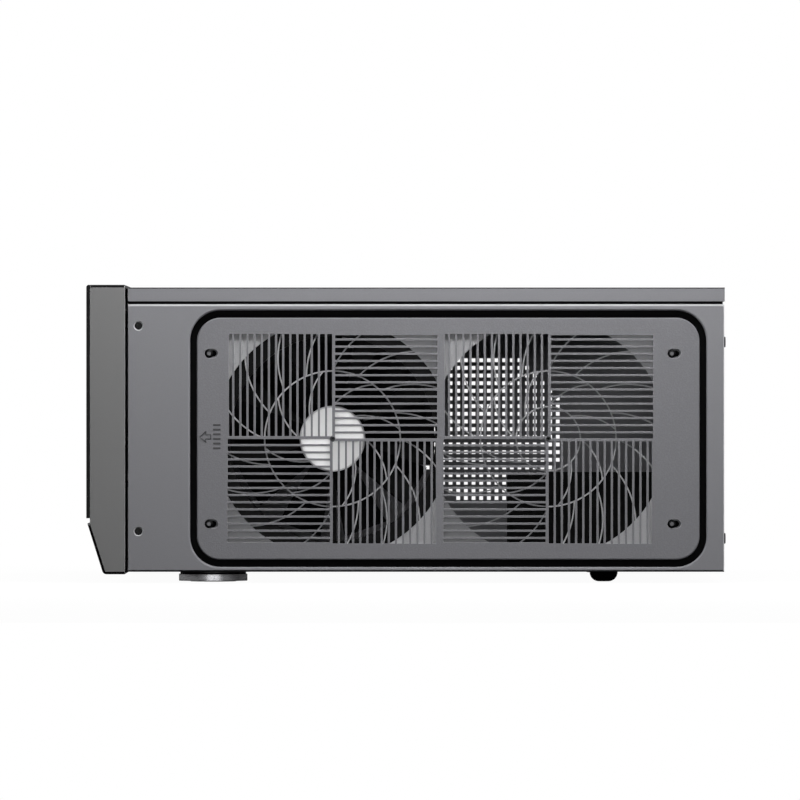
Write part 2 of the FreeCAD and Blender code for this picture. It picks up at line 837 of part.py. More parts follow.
def build_rear_tray():
    """Board zone set into the rear: port opening, expansion slots and round vents."""
    piece = Piece("rear_tray")
    g = s.gauge
    piece.add(XZ, zone_in, panel_out, polygon(zone_outline(as_size(0.0))))
    piece.take(XZ, zone_out, panel_out, polygon(zone_outline(g)))
    cuts = [rect(io_left, io_left + s.io_width, s.io_low, s.io_low + s.io_height)]
    for k in range(SLOT_COUNT):
        middle = slot_first - k * s.slot_pitch
        cuts.append(rect(middle - s.slot_width / 2, middle + s.slot_width / 2, s.slot_low, slot_high))
    piece.take(XZ, zone_in, zone_out, *cuts)
    half = s.rear_fan_hole_pitch / 2
    for k in range(2):
        x = rear_fan_first + k * s.rear_fan_pitch
        holes = [circle(x + i * half, rear_fan_height + j * half, s.fan_hole)
                 for i in (-1, 1) for j in (-1, 1)]
        piece.take(XZ, zone_in, zone_out, *holes, *round_vent(x, rear_fan_height, s.rear_fan_radius))
    tab_hole = s.slot_screw_shank + s.shank_fit
    spots = [circle(slot_first - k * s.slot_pitch, slot_screw_y, tab_hole) for k in range(SLOT_COUNT)]
    piece.take(XY, ledge_height - g, ledge_height, *spots)


def round_vent(u, v, radius):
    """Upright slots inside a circle, split by a bar across the middle."""
    half_count = int((radius.value - SIZES["vent_width"] / 2) // SIZES["vent_pitch"])
    half = s.vent_width / 2
    cuts = []
    for i in range(-half_count, half_count + 1):
        offset = i * s.vent_pitch
        edge = abs(i) * s.vent_pitch + half
        reach = (radius * radius - edge * edge).root()
        if reach.value < 2 * SIZES["vent_width"]:
            continue
        cuts.append(rect(u + offset - half, u + offset + half, v + half, v + reach))
        cuts.append(rect(u + offset - half, u + offset + half, v - reach, v - half))
    return cuts


def supply_cuts():
    """Opening and four screw holes for a power supply that stands on its side."""
    edge = s.psu_hole_edge
    frame = s.psu_frame
    opening = rect(psu_left + frame, zone_left - frame, pan_top + frame, psu_top - frame)
    holes = [(psu_left + s.psu_hole_step, pan_top + edge), (zone_left - edge, pan_top + edge),
             (psu_left + edge, psu_top - edge), (zone_left - edge, psu_top - s.psu_hole_drop)]
    return [opening] + [circle(x, z, s.psu_hole) for x, z in holes]


def cover_screw_places():
    return [-cover_screw_span, as_size(0.0), cover_screw_span]


cover_screw_z = (flange_low + inner_top) / 2
slot_screw_y = zone_out + s.bracket_tab / 2
cover_rear_in = panel_out + s.cover_fit
cover_rear = cover_rear_in + s.gauge


def build_cover():
    piece = Piece("top_cover")
    section = [(-wall_out, flange_low), (-wall_in, flange_low), (-wall_in, cover_low), (wall_in, cover_low),
               (wall_in, flange_low), (wall_out, flange_low), (wall_out, cover_top), (-wall_out, cover_top)]
    piece.add(XZ, wall_front, cover_rear, polygon(section))
    piece.add(XZ, cover_rear_in, cover_rear, rect(-wall_out, wall_out, flange_low, cover_top))
    hole = s.cover_screw_shank + s.shank_fit
    piece.take(XZ, cover_rear_in, cover_rear,
               *[circle(x, cover_screw_z, hole) for x in cover_screw_places()])
    top_edge = along(FreeCAD.Vector(0, 1, 0))
    for x in (-wall_out, wall_out):
        piece.soften(lambda e, x=x: top_edge(e) and near(e, x=x, z=cover_top), s.gauge)


def build_bezel():
    """Front moulding: open frame with a slanted chin, and the backing panel with its clips and spacers."""
    piece = Piece("front_bezel")
    w = s.bezel_wall
    chin_front = plate_back - s.chin_proud
    chin_back = chin_front + s.chin_slope
    piece.add(YZ, -right, right, polygon([
        (bezel_back, s.bezel_clear), (bezel_back, s.case_height), (plate_back, s.case_height),
        (plate_back, s.chin_top), (chin_front, s.chin_top), (chin_back, s.bezel_clear)]))
    chin_low = along(FreeCAD.Vector(1, 0, 0))
    piece.soften(lambda e: chin_low(e) and near(e, y=chin_back, z=s.bezel_clear), s.bezel_round)
    piece.take(YZ, -right + w, right - w, polygon([
        (bezel_back, s.bezel_clear + w), (bezel_back, s.case_height - w), (plate_back, s.case_height - w),
        (plate_back, s.chin_top), (bezel_in, s.chin_top), (chin_back + w, s.bezel_clear + w)]))
    backing = Piece("front_backing")
    backing.add(XZ, plate_back, bezel_in, rect(-right + w, right - w, s.chin_top, s.case_height - w))
    cuts = [rect(bay_left, bay_right, bay_low, bay_high)] + control_holes()
    backing.take(XZ, plate_back, bezel_in, *cuts)
    clip_x = right - s.clip_inset_x
    heights = (s.clip_low, s.case_height - s.clip_inset_z)
    group("front_clips", [rod("Y", (x, bezel_in, z), s.clip_radius, wall_front - bezel_in)
                          for x in (-clip_x, clip_x) for z in heights])
    group("board_spacers", [rod("Y", (x, bezel_in, s.control_height), s.board_post, board_face - bezel_in)
                            for x in board_post_places()])


def control_holes():
    """Holes that the buttons, lenses, ports and jacks come through."""
    v = s.control_height
    cuts = [circle(power_x, v, s.power_radius + s.button_fit),
            circle(reset_x, v, s.reset_radius + s.button_fit)]
    cuts += [circle(x, v, s.lens_radius + s.shank_fit) for x in (power_lens_x, drive_lens_x)]
    half_u = s.usb_width / 2 + s.usb_fit
    half_v = s.usb_height / 2 + s.usb_fit
    for k in range(2):
        u = usb_first + k * s.usb_pitch
        cuts.append(rect(u - half_u, u + half_u, v - half_v, v + half_v))
        cuts.append(circle(jack_first + k * s.jack_pitch, v, s.jack_barrel + s.shank_fit))
    return cuts


def board_post_places():
    """Two spacers for each small board, just outside its outermost control."""
    clear = s.board_overhang - s.board_post
    return [power_x - s.power_radius - clear, drive_lens_x + clear,
            usb_first - s.usb_width / 2 - clear, jack_first + s.jack_pitch + clear]


def build_face_plate():
    piece = Piece("face_plate")
    piece.add(XZ, front, plate_back, rect(-right, right, s.plate_low, s.case_height))
    piece.take(XZ, front, plate_back, rect(bay_left, bay_right, bay_low, bay_high), *control_holes())
    across = along(FreeCAD.Vector(1, 0, 0))
    piece.soften(lambda e: across(e) and near(e, y=front, z=s.case_height), s.plate_round)


def build_bay_cover():
    """Blank for the drive bay, held by side tabs behind the moulding."""
    piece = Piece("bay_cover")
    f = s.bay_fit
    piece.add(XZ, front + s.button_sink, bezel_in,
              rect(bay_left + f, bay_right - f, bay_low + f, bay_high - f))
    piece.add(XZ, bezel_in, bezel_in + s.bay_tab_thick,
              rect(bay_left - s.bay_tab, bay_right + s.bay_tab, bay_low + f, bay_high - f))


def build_grille():
    """Side grille: two fields of slats in four quadrants that turn about each centre."""
    piece = Piece("side_grille")
    piece.add(YZ, grille_back, grille_face,
              rounded(grille_front, grille_rear, grille_low, grille_high, grille_round))
    piece.soften(lambda e: within(e, grille_face, grille_front, grille_rear, grille_low, grille_high),
                 s.grille_edge)
    k = s.grille_skirt
    piece.take(YZ, grille_back, slat_back,
               rounded(grille_front + k, grille_rear - k, grille_low + k, grille_high - k,
                       grille_round - k))
    web = slat_back + s.stud_web
    neck = s.stud_neck + s.slide_fit
    head = s.stud_head + s.slide_fit
    piece.take(YZ, web, grille_face, *[obround(y, y + s.slide_travel, z, head) for y, z in studs])
    piece.take(YZ, slat_back, web, *[obround(y, y + s.slide_travel, z, neck) for y, z in studs])
    near_edge = s.arm_shift - s.arm_width / 2
    far_edge = s.arm_shift + s.arm_width / 2
    for y in fan_places:
        slots = []
        for i in range(SLATS):
            edge = near_edge - i * s.slat_pitch
            slots.append(rect(edge - s.slat_space, edge, far_edge, s.field_half))
        last_edge = near_edge - SLATS * s.slat_pitch
        slots.append(rect(s.field_margin - s.field_half, last_edge, far_edge, s.field_half))
        pocket = piece.take(YZ, slat_back, grille_face, *slots, centre=(y, fan_z))
        piece.around(pocket, pocket.Profile[0], QUADRANTS)
    piece.add(YZ, slat_back, grille_face, *[circle(y, fan_z, s.centre_boss) for y in fan_places])


def build_guard():
    """Plate behind the slats, open over each fan and crossed by swirling ribs."""
    plate = Piece("guard_sheet", node=False)
    k = s.grille_skirt + s.guard_fit
    plate.add(YZ, guard_back, slat_back,
              rounded(grille_front + k, grille_rear - k, grille_low + k, grille_high - k, grille_round - k))
    openings = [clipped_circle(y, fan_z, s.fan_opening, s.opening_half) for y in fan_places]
    hole = s.stud_head + s.slide_fit
    keyholes = [obround(y, y + s.slide_travel, z, hole) for y, z in studs]
    plate.take(YZ, guard_back, slat_back, *openings, *keyholes)
    fields = [plate.body]
    for y in fan_places:
        ribs = Piece("guard_ribs", node=False)
        w = s.rib_width / 2
        middle = (y, fan_z)
        zero = as_size(0.0)
        ring = ribs.add(YZ, guard_back, slat_back, circle(zero, zero, s.rib_hub + w),
                        circle(zero, zero, s.rib_hub - w), centre=middle)
        axis = ring.Profile[0]
        inner = ribs.add(YZ, guard_back, slat_back,
                         swirl(s.rib_hub, s.rib_ring, RIB_SWEEP_INNER, s.rib_width), centre=middle)
        ribs.around(inner, axis, INNER_RIBS)
        ribs.add(YZ, guard_back, slat_back, circle(zero, zero, s.rib_ring + w),
                 circle(zero, zero, s.rib_ring - w), centre=middle)
        outer = ribs.add(YZ, guard_back, slat_back,
                         swirl(s.rib_ring, s.fan_opening + s.rib_width, RIB_SWEEP_OUTER, s.rib_width),
                         centre=middle)
        ribs.around(outer, axis, OUTER_RIBS)
        square = Piece("guard_field", node=False)
        half = s.opening_half + s.rib_width
        square.add(YZ, guard_back, slat_back, rect(y - half, y + half, fan_z - half, fan_z + half))
        clipped = DOC.addObject("Part::MultiCommon", "clipped_ribs")
        clipped.Shapes = [ribs.body, square.body]
        fields.append(clipped)
    guard = DOC.addObject("Part::MultiFuse", "guard_plate")
    guard.Shapes = fields
    guard.Refine = True
    NODES["guard_plate"] = guard


def build_studs():
    pins = []
    top = slat_back + s.stud_web + s.slide_fit
    for y, z in studs:
        neck = rod("X", (recess_out, y, z), s.stud_neck, top - recess_out)
        pins.append(fuse(neck, rod("X", (top, y, z), s.stud_head, s.stud_head_thick)))
    group("grille_studs", pins)


def build_fan():
    y = fan_places[0]
    half = s.fan_size / 2
    frame = Piece("fan_frame")
    flange = rounded(y - half, y + half, fan_z - half, fan_z + half, s.fan_round)
    frame.add(YZ, fan_back, fan_back + s.fan_flange, flange)
    frame.add(YZ, fan_front - s.fan_flange, fan_front, flange)
    frame.add(YZ, fan_back, fan_front, clipped_circle(y, fan_z, s.fan_barrel, half))
    frame.take(YZ, fan_back, fan_front, circle(y, fan_z, s.fan_bore))
    frame.take(YZ, fan_back, fan_front, *fan_holes(y, s.fan_hole))
    base_top = fan_back + s.fan_flange
    reach = s.fan_bore + s.strut_width / 4
    wide = s.strut_width / 2
    frame.add(YZ, fan_back, base_top, circle(y, fan_z, s.motor_base))
    frame.add(YZ, fan_back, base_top, rect(y - reach, y + reach, fan_z - wide, fan_z + wide))
    frame.add(YZ, fan_back, base_top, rect(y - wide, y + wide, fan_z - reach, fan_z + reach))
    bearing_end = fan_back + s.bearing_length
    frame.add(YZ, base_top, bearing_end, circle(y, fan_z, s.bearing_radius))
    shaft_end = fan_back + s.hub_wall
    frame.take(YZ, shaft_end, bearing_end, circle(y, fan_z, s.shaft_radius + s.shaft_fit))
    build_rotor(y, base_top + s.hub_gap, shaft_end + s.hub_gap)
    seats = [(recess_out, y + i * s.fan_hole_pitch / 2, fan_z + j * s.fan_hole_pitch / 2)
             for i in (-1, 1) for j in (-1, 1)]
    shank = s.fan_hole - s.shank_fit
    group("fan_screws", [screw("X", seat, 1, s.fan_screw_head, s.fan_screw_rise, shank, s.fan_screw_length)
                         for seat in seats])


def build_rotor(y, hub_back, shaft_end):
    """Hub cup on its shaft with twisted blades."""
    hub_front = fan_front - s.hub_sink
    cap = hub_front - s.hub_wall
    zero = as_size(0.0)
    rotor = Piece("fan_rotor")
    middle = (y, fan_z)
    hub = rotor.add(YZ, hub_back, hub_front, circle(zero, zero, s.hub_radius), centre=middle)
    rotor.take(YZ, hub_back, cap, circle(zero, zero, s.hub_radius - s.hub_wall), centre=middle)
    rotor.add(YZ, shaft_end, cap, circle(zero, zero, s.shaft_radius), centre=middle)
    mid = (hub_back + hub_front) / 2
    half_depth = (hub_front - hub_back) / 2 - s.hub_wall
    root = blade_section(mid, half_depth, BLADE_ROOT_SLOPE, s.blade_thick)
    tip = blade_section(mid, half_depth * BLADE_TIP_SHARE, BLADE_TIP_SLOPE, s.blade_thick)
    blade = rotor.loft(XY, (fan_z + s.hub_radius - s.hub_wall / 2, root, (zero, y)),
                       (fan_z + s.blade_tip, tip, (zero, y)))
    rotor.around(blade, hub.Profile[0], BLADES)
    sticker = Piece("hub_sticker")
    sticker.add(YZ, hub_front, hub_front + s.sticker_thick, circle(y, fan_z, s.sticker_radius))


def blade_section(mid, half_depth, slope, thick):
    """A slanted, cupped strip: slope is sideways run over depth."""
    run = half_depth * slope
    lean = math.hypot(1.0, slope)
    off_x = thick * (0.5 * slope / lean)
    off_y = thick * (0.5 / lean)
    cup_x = s.blade_cup * (slope / lean)
    cup_y = s.blade_cup * (1.0 / lean)
    return polygon([(mid - half_depth - off_x, off_y - run), (mid - half_depth + off_x, -off_y - run),
                    (mid + off_x + cup_x, -off_y - cup_y), (mid + half_depth + off_x, run - off_y),
                    (mid + half_depth - off_x, run + off_y), (mid - off_x + cup_x, off_y - cup_y)])


def build_slot_covers():
    screws = []
    for k in range(SLOT_COUNT):
        x = slot_first - k * s.slot_pitch
        half = s.bracket_width / 2
        piece = Piece(f"slot_cover_{k + 1}")
        inside = zone_in - s.gauge
        tab_top = ledge_height + s.gauge
        piece.add(YZ, x - half, x + half, polygon([
            (inside, s.bracket_low), (zone_in, s.bracket_low), (zone_in, ledge_height),
            (zone_out + s.bracket_tab, ledge_height), (zone_out + s.bracket_tab, tab_top),
            (inside, tab_top)]))
        hole = s.slot_screw_shank + s.shank_fit
        piece.take(XY, ledge_height, tab_top, circle(x, slot_screw_y, hole))
        screws.append(screw("Z", (x, slot_screw_y, tab_top), 1, s.slot_screw_head, s.slot_screw_rise,
                            s.slot_screw_shank, s.slot_screw_length))
    group("slot_screws", screws)


def build_drive_cage():
    """Open-topped tray for drives, hung between the front wall and the brace."""
    piece = Piece("drive_cage")
    left = bay_left - s.cage_clear
    right_side = bay_right + s.cage_clear
    g = s.gauge
    piece.add(XZ, frame_back, cage_rear, polygon([
        (left - g, cage_low), (right_side + g, cage_low), (right_side + g, cage_high),
        (right_side, cage_high), (right_side, cage_low + g), (left, cage_low + g),
        (left, cage_high), (left - g, cage_high)]))
    for low, high in ((left - s.cage_flange, left - g), (right_side + g, right_side + s.cage_flange)):
        piece.add(XZ, frame_back, frame_back + g, rect(low, high, cage_low, cage_high))
    middle = (frame_back + cage_rear) / 2
    pitch = s.cage_slot_length
    half = pitch * (CAGE_SLOT_SHARE / 2)
    step = (cage_high - cage_low) / 4
    slots = [rect(middle + i * pitch - half, middle + i * pitch + half,
                  cage_low + k * step, cage_low + k * step + s.cage_slot_height)
             for i in (-1, 1) for k in (1, 2, 3)]
    piece.take(YZ, left - g, left, *slots)
    piece.take(YZ, right_side, right_side + g, *slots)
    windows = [rect(bay_centre + i * pitch - half, bay_centre + i * pitch + half,
                    middle - pitch, middle + pitch)
               for i in (-1, 0, 1)]
    piece.take(XY, cage_low, cage_low + g, *windows)
    brace = Piece("cross_brace")
    start = cage_rear
    end = start + s.brace_width
    low = inner_top - s.brace_depth
    brace.add(YZ, -lip_in, lip_in, polygon([
        (start, low), (start + g, low), (start + g, inner_top - g), (end - g, inner_top - g),
        (end - g, low), (end, low), (end, inner_top), (start, inner_top)]))


def build_supply_guide():
    piece = Piece("supply_guide")
    face = psu_left + psu_width + s.sheet_clear
    top = pan_top + s.psu_guide_height
    piece.add(XZ, psu_guide_front, psu_guide_rear, polygon([
        (face, pan_top), (face + s.psu_guide_foot, pan_top), (face + s.psu_guide_foot, pan_top + s.gauge),
        (face + s.gauge, pan_top + s.gauge), (face + s.gauge, top), (face, top)]))


def build_standoffs():
    posts = []
    first_x = board_left + s.board_hole_x
    first_y = zone_in - s.board_edge - s.board_hole_y
    for x in (first_x, first_x + s.board_middle_x, first_x + s.board_span_x):
        for y in (first_y, first_y - s.board_middle_y, first_y - s.board_span_y):
            hexagon = DOC.addObject("Part::Prism", "hexagon")
            hexagon.Polygon = 6
            bind(hexagon, "Circumradius", s.standoff_radius)
            bind(hexagon, "Height", s.standoff_height)
            for name, size in zip("xyz", (x, y, pan_top)):
                bind(hexagon, f"Placement.Base.{name}", size)
            post = DOC.addObject("Part::Cut", "standoff")
            post.Base = hexagon
            post.Tool = rod("Z", (x, y, pan_top + s.gauge), s.standoff_bore, s.standoff_height)
            posts.append(post)
    group("board_standoffs", posts)


def build_buttons():
    keys = (("power_button", power_x, s.power_radius), ("reset_button", reset_x, s.reset_radius))
    for label, x, radius in keys:
        piece = Piece(label)
        v = s.control_height
        shelf = bezel_in + s.slide_fit
        shelf_end = shelf + s.button_flange_thick
        stem_end = board_face - s.switch_rise - s.button_travel - s.button_margin
        piece.add(XZ, front + s.button_sink, shelf, circle(x, v, radius))
        piece.add(XZ, shelf, shelf_end, circle(x, v, radius + s.button_flange))
        piece.add(XZ, shelf_end, stem_end, circle(x, v, s.button_stem))
        switch = Piece(label.replace("button", "switch"))
        half = s.switch_side / 2
        dome = board_face - s.switch_rise
        case = dome + s.button_margin
        switch.add(XZ, case, board_face, rect(x - half, x + half, v - half, v + half))
        switch.add(XZ, dome, case, circle(x, v, s.button_stem))
    lenses = (("power_lens", power_lens_x), ("drive_lens", drive_lens_x))
    for label, x in lenses:
        lens = Piece(label)
        lens.add(XZ, front + s.button_sink, board_face, circle(x, s.control_height, s.lens_radius))


def build_boards():
    left_posts = board_post_places()[:2]
    right_posts = board_post_places()[2:]
    for label, (first, last) in (("switch_board", left_posts), ("port_board", right_posts)):
        board = Piece(label)
        low = s.control_height - s.board_half_height
        high = s.control_height + s.board_half_height
        board.add(XZ, board_face, board_face + s.board_thick,
                  rect(first - s.board_post, last + s.board_post, low, high))


def build_ports():
    v = s.control_height
    for k in range(2):
        u = usb_first + k * s.usb_pitch
        half_u = s.usb_width / 2
        half_v = s.usb_height / 2
        w = s.usb_wall
        mouth = front + s.usb_sink
        shell = Piece(f"usb_shell_{k + 1}")
        shell.add(XZ, mouth, board_face, rect(u - half_u, u + half_u, v - half_v, v + half_v))
        inside = rect(u - half_u + w, u + half_u - w, v - half_v + w, v + half_v - w)
        shell.take(XZ, mouth, board_face, inside)
        tongue = Piece(f"usb_tongue_{k + 1}")
        base = board_face - (board_face - mouth - s.tongue_length) + s.usb_sink
        tongue.add(XZ, base, board_face, inside)
        flat = s.tongue_width / 2
        tongue.add(XZ, mouth + s.usb_sink, base, rect(u - flat, u + flat, v, v + s.tongue_thick))
    for label, k in (("headphone_jack", 0), ("microphone_jack", 1)):
        u = jack_first + k * s.jack_pitch
        half = s.jack_block / 2
        jack = Piece(label)
        jack.add(XZ, bezel_in, board_face, rect(u - half, u + half, v - half, v + half))
        jack.add(XZ, front + s.button_sink, bezel_in, circle(u, v, s.jack_barrel))
        jack.take(XZ, front + s.button_sink, board_face - s.jack_bore, circle(u, v, s.jack_bore))


def build_feet():
    zero = as_size(0.0)
    for name, side in (("left", -1), ("right", 1)):
        x = side * (right - s.foot_inset)
        y = front + s.front_foot_y
        collar = s.foot_height - s.front_foot_band
        foot = Piece(f"front_foot_{name}")
        foot.add(XY, s.foot_pad_thick, s.foot_height, circle(x, y, s.front_foot_stem))
        foot.add(XY, collar, s.foot_height, circle(x, y, s.front_foot_radius))
        ring = Piece(f"foot_ring_{name}")
        inner = s.front_foot_stem + s.foot_ring_fit
        low = s.foot_ring_low
        bend = s.foot_ring_round
        outer = s.foot_ring_radius
        corners = [(inner, low), (outer - bend, low), (outer, low + bend), (outer, collar), (inner, collar)]
        section = [(corners, {1: ((outer - bend, low + bend), bend, True)})]
        ring.turn(XZ, y, section, (x, zero))
        pad = Piece(f"foot_pad_{name}")
        pad.add(XY, zero, s.foot_pad_thick, circle(x, y, s.foot_pad_radius))
        y = rear - s.rear_foot_from_rear
        dome = Piece(f"rear_foot_{name}")
        outer = s.rear_foot_radius
        bend = s.rear_foot_round
        corners = [(zero, zero), (outer - bend, zero), (outer, bend), (outer, s.foot_height),
                   (zero, s.foot_height)]
        section = [(corners, {1: ((outer - bend, bend), bend, True)})]
        dome.turn(XZ, y, section, (x, zero))


def build_fasteners():
    y = wall_front + s.panel_screw_y
    spots = [(side, z) for side in (-1, 1) for z in (s.panel_screw_low, panel_screw_high)]
    group("panel_screws", [screw("X", (side * wall_in, y, z), side, s.panel_screw_radius, s.panel_screw_rise,
                                 s.panel_screw_radius, s.panel_screw_length) for side, z in spots])
    rivet_x = wall_out - s.rivet_inset
    places = [(x, wall_rear, z) for x in (-rivet_x, rivet_x) for z in (s.rivet_low, rivet_high)]
    group("rear_rivets", [screw("Y", place, 1, s.rivet_radius, s.rivet_proud, s.rivet_radius / 2, 2 * s.gauge)
                          for place in places])
    seats = [(x, cover_rear, cover_screw_z) for x in cover_screw_places()]
    group("cover_screws", [screw("Y", seat, 1, s.cover_screw_radius, rear - cover_rear, s.cover_screw_shank,
                                 s.cover_screw_length) for seat in seats])


def write_parts():
    """Check every object, then write each sub-part's solid to its own file."""
    for item in NODES.values():
        if item.TypeId == "PartDesign::Body":
            item.Tip.Refine = True
    DOC.recompute()
    for item in DOC.Objects:
        if "Invalid" in item.State or "Error" in item.State:
            raise RuntimeError(f"{item.Name} failed: {item.State}")
    for label, item in NODES.items():
        item.Label = label
        if item.Shape.isNull() or not item.Shape.isValid() or not item.Shape.Solids:
            raise RuntimeError(f"{label} has no valid solid")
    os.makedirs("parts", exist_ok=True)
    for label, item in NODES.items():
        item.Shape.exportStep(f"parts/{label}.step")


build_pan()
build_right_panel()
build_left_panel()
build_front_frame()
build_rear_panel()
build_rear_tray()
build_cover()
build_bezel()
build_face_plate()
build_bay_cover()
build_grille()
build_guard()
build_studs()
build_fan()
build_slot_covers()
build_drive_cage()
build_supply_guide()
build_standoffs()
build_buttons()
build_boards()
build_ports()
build_feet()
build_fasteners()
write_parts()
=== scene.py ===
"""Looks of a low, wide desktop computer case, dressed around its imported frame."""
from __future__ import annotations

import json
import logging
import math
from dataclasses import dataclass
from enum import Enum
from typing import Any, Callable, Optional, Sequence, Union

import bpy
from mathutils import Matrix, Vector


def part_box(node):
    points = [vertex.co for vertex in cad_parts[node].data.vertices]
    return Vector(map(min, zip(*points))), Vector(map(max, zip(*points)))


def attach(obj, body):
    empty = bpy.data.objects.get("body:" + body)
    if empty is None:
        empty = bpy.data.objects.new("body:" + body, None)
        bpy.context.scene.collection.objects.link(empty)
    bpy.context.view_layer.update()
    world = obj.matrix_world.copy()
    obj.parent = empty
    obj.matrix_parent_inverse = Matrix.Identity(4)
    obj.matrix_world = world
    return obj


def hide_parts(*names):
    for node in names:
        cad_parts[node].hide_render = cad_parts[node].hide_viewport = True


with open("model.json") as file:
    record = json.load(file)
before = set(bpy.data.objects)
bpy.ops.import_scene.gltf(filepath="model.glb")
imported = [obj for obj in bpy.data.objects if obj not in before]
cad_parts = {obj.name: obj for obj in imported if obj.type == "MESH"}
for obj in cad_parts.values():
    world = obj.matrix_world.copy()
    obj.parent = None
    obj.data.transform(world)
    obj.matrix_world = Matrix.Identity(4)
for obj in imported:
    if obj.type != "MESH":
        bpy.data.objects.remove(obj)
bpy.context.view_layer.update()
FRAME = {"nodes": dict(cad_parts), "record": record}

LOG = logging.getLogger("case")
MM = 0.001
HAIR = 0.00005
BROAD_SCALE = 9.0
BROAD_ROUGHNESS = 0.12
FINE_ROUGHNESS = 0.10
GRAIN_HEIGHT = 0.2 * MM
Colour = tuple[float, float, float]
Number = Union["Shade", float]


def linear(colour: Colour) -> tuple[float, float, float, float]:
    """Turn a display colour into the linear one that shaders use.

    Args:
        colour: Red, green and blue as they look on a screen, 0 to 1.

    Returns:
        The linear colour with full opacity.
    """
    parts = [c / 12.92 if c <= 0.04045 else ((c + 0.055) / 1.055) ** 2.4 for c in colour]
    return parts[0], parts[1], parts[2], 1.0


class Shade:
    """A shader value: plain arithmetic on it adds Math nodes."""

    def __init__(self, sheet: "NodeSheet", socket: bpy.types.NodeSocket) -> None:
        """Keep the node sheet and the output socket."""
        self.sheet = sheet
        self.socket = socket

    def _math(self, operation: str, first: Number, second: Number) -> "Shade":
        """Add one Math node.

        Args:
            operation: The Math node's operation.
            first: Its first value.
            second: Its second value.

        Returns:
            The result as a new shade.
        """
        node = self.sheet.node("ShaderNodeMath", {"operation": operation}, {0: first, 1: second})
        return Shade(self.sheet, node.outputs[0])

    def __add__(self, other: Number) -> "Shade":
        """Sum."""
        return self._math("ADD", self, other)

    def __sub__(self, other: Number) -> "Shade":
        """Difference."""
        return self._math("SUBTRACT", self, other)

    def __mul__(self, other: Number) -> "Shade":
        """Product."""
        return self._math("MULTIPLY", self, other)

    __radd__ = __add__
    __rmul__ = __mul__


class NodeSheet:
    """The node tree of one material."""

    def __init__(self, name: str) -> None:
        """Make an empty node material.

        Args:
            name: The material's name.
        """
        self.material = bpy.data.materials.new(name)
        self.material.use_nodes = True
        self.tree = self.material.node_tree
        self.tree.nodes.clear()

    def node(self, kind: str, settings: Optional[dict[str, Any]] = None,
             inputs: Optional[dict[Any, Any]] = None) -> bpy.types.Node:
        """Add any node.

        Args:
            kind: The node's type.
            settings: Its properties.
            inputs: Values, shades or sockets by input name or number.

        Returns:
            The new node.
        """
        node = self.tree.nodes.new(kind)
        for key, value in (settings or {}).items():
            setattr(node, key, value)
        for key, value in (inputs or {}).items():
            if isinstance(value, Shade):
                self.tree.links.new(value.socket, node.inputs[key])
            elif isinstance(value, bpy.types.NodeSocket):
                self.tree.links.new(value, node.inputs[key])
            else:
                node.inputs[key].default_value = value
        return node

    def places(self, scale: Sequence[float] = (1.0, 1.0, 1.0)) -> bpy.types.NodeSocket:
        """Object coordinates, stretched.

        Args:
            scale: The stretch along X, Y and Z.

        Returns:
            The vector socket.
        """
        spots = self.node("ShaderNodeTexCoord").outputs["Object"]
        mapping = self.node("ShaderNodeMapping", {}, {"Vector": spots, "Scale": scale})
        return mapping.outputs["Vector"]

    def noise(self, scale: float, detail: float = 2.0,
              stretch: Sequence[float] = (1.0, 1.0, 1.0)) -> Shade:
        """Cloudy variation about one half.

        Args:
            scale: Features per metre.
            detail: How many finer layers.
            stretch: Stretch of the coordinates.

        Returns:
            The noise as a shade.
        """
        node = self.node("ShaderNodeTexNoise", {}, {
            "Vector": self.places(stretch), "Scale": scale, "Detail": detail})
        return Shade(self, node.outputs[0])

    def mix(self, factor: Number, first: Any, second: Any) -> bpy.types.NodeSocket:
        """Blend two colours.

        Args:
            factor: How much of the second.
            first: A colour or socket.
            second: A colour or socket.

        Returns:
            The colour socket.
        """
        node = self.node("ShaderNodeMix", {"data_type": "RGBA"}, {0: factor, 6: first, 7: second})
        return node.outputs[2]

    def close(self, surface: bpy.types.NodeSocket) -> bpy.types.Material:
        """Send a shader to the output.

        Args:
            surface: The shader socket.

        Returns:
            The finished material.
        """
        self.node("ShaderNodeOutputMaterial", {}, {"Surface": surface})
        return self.material


class Grain(Enum):
    """What the fine surface texture looks like."""

    CLOUDY = "cloudy"
    SPECKLED = "speckled"
    BRUSHED = "brushed"
    TURNED = "turned"


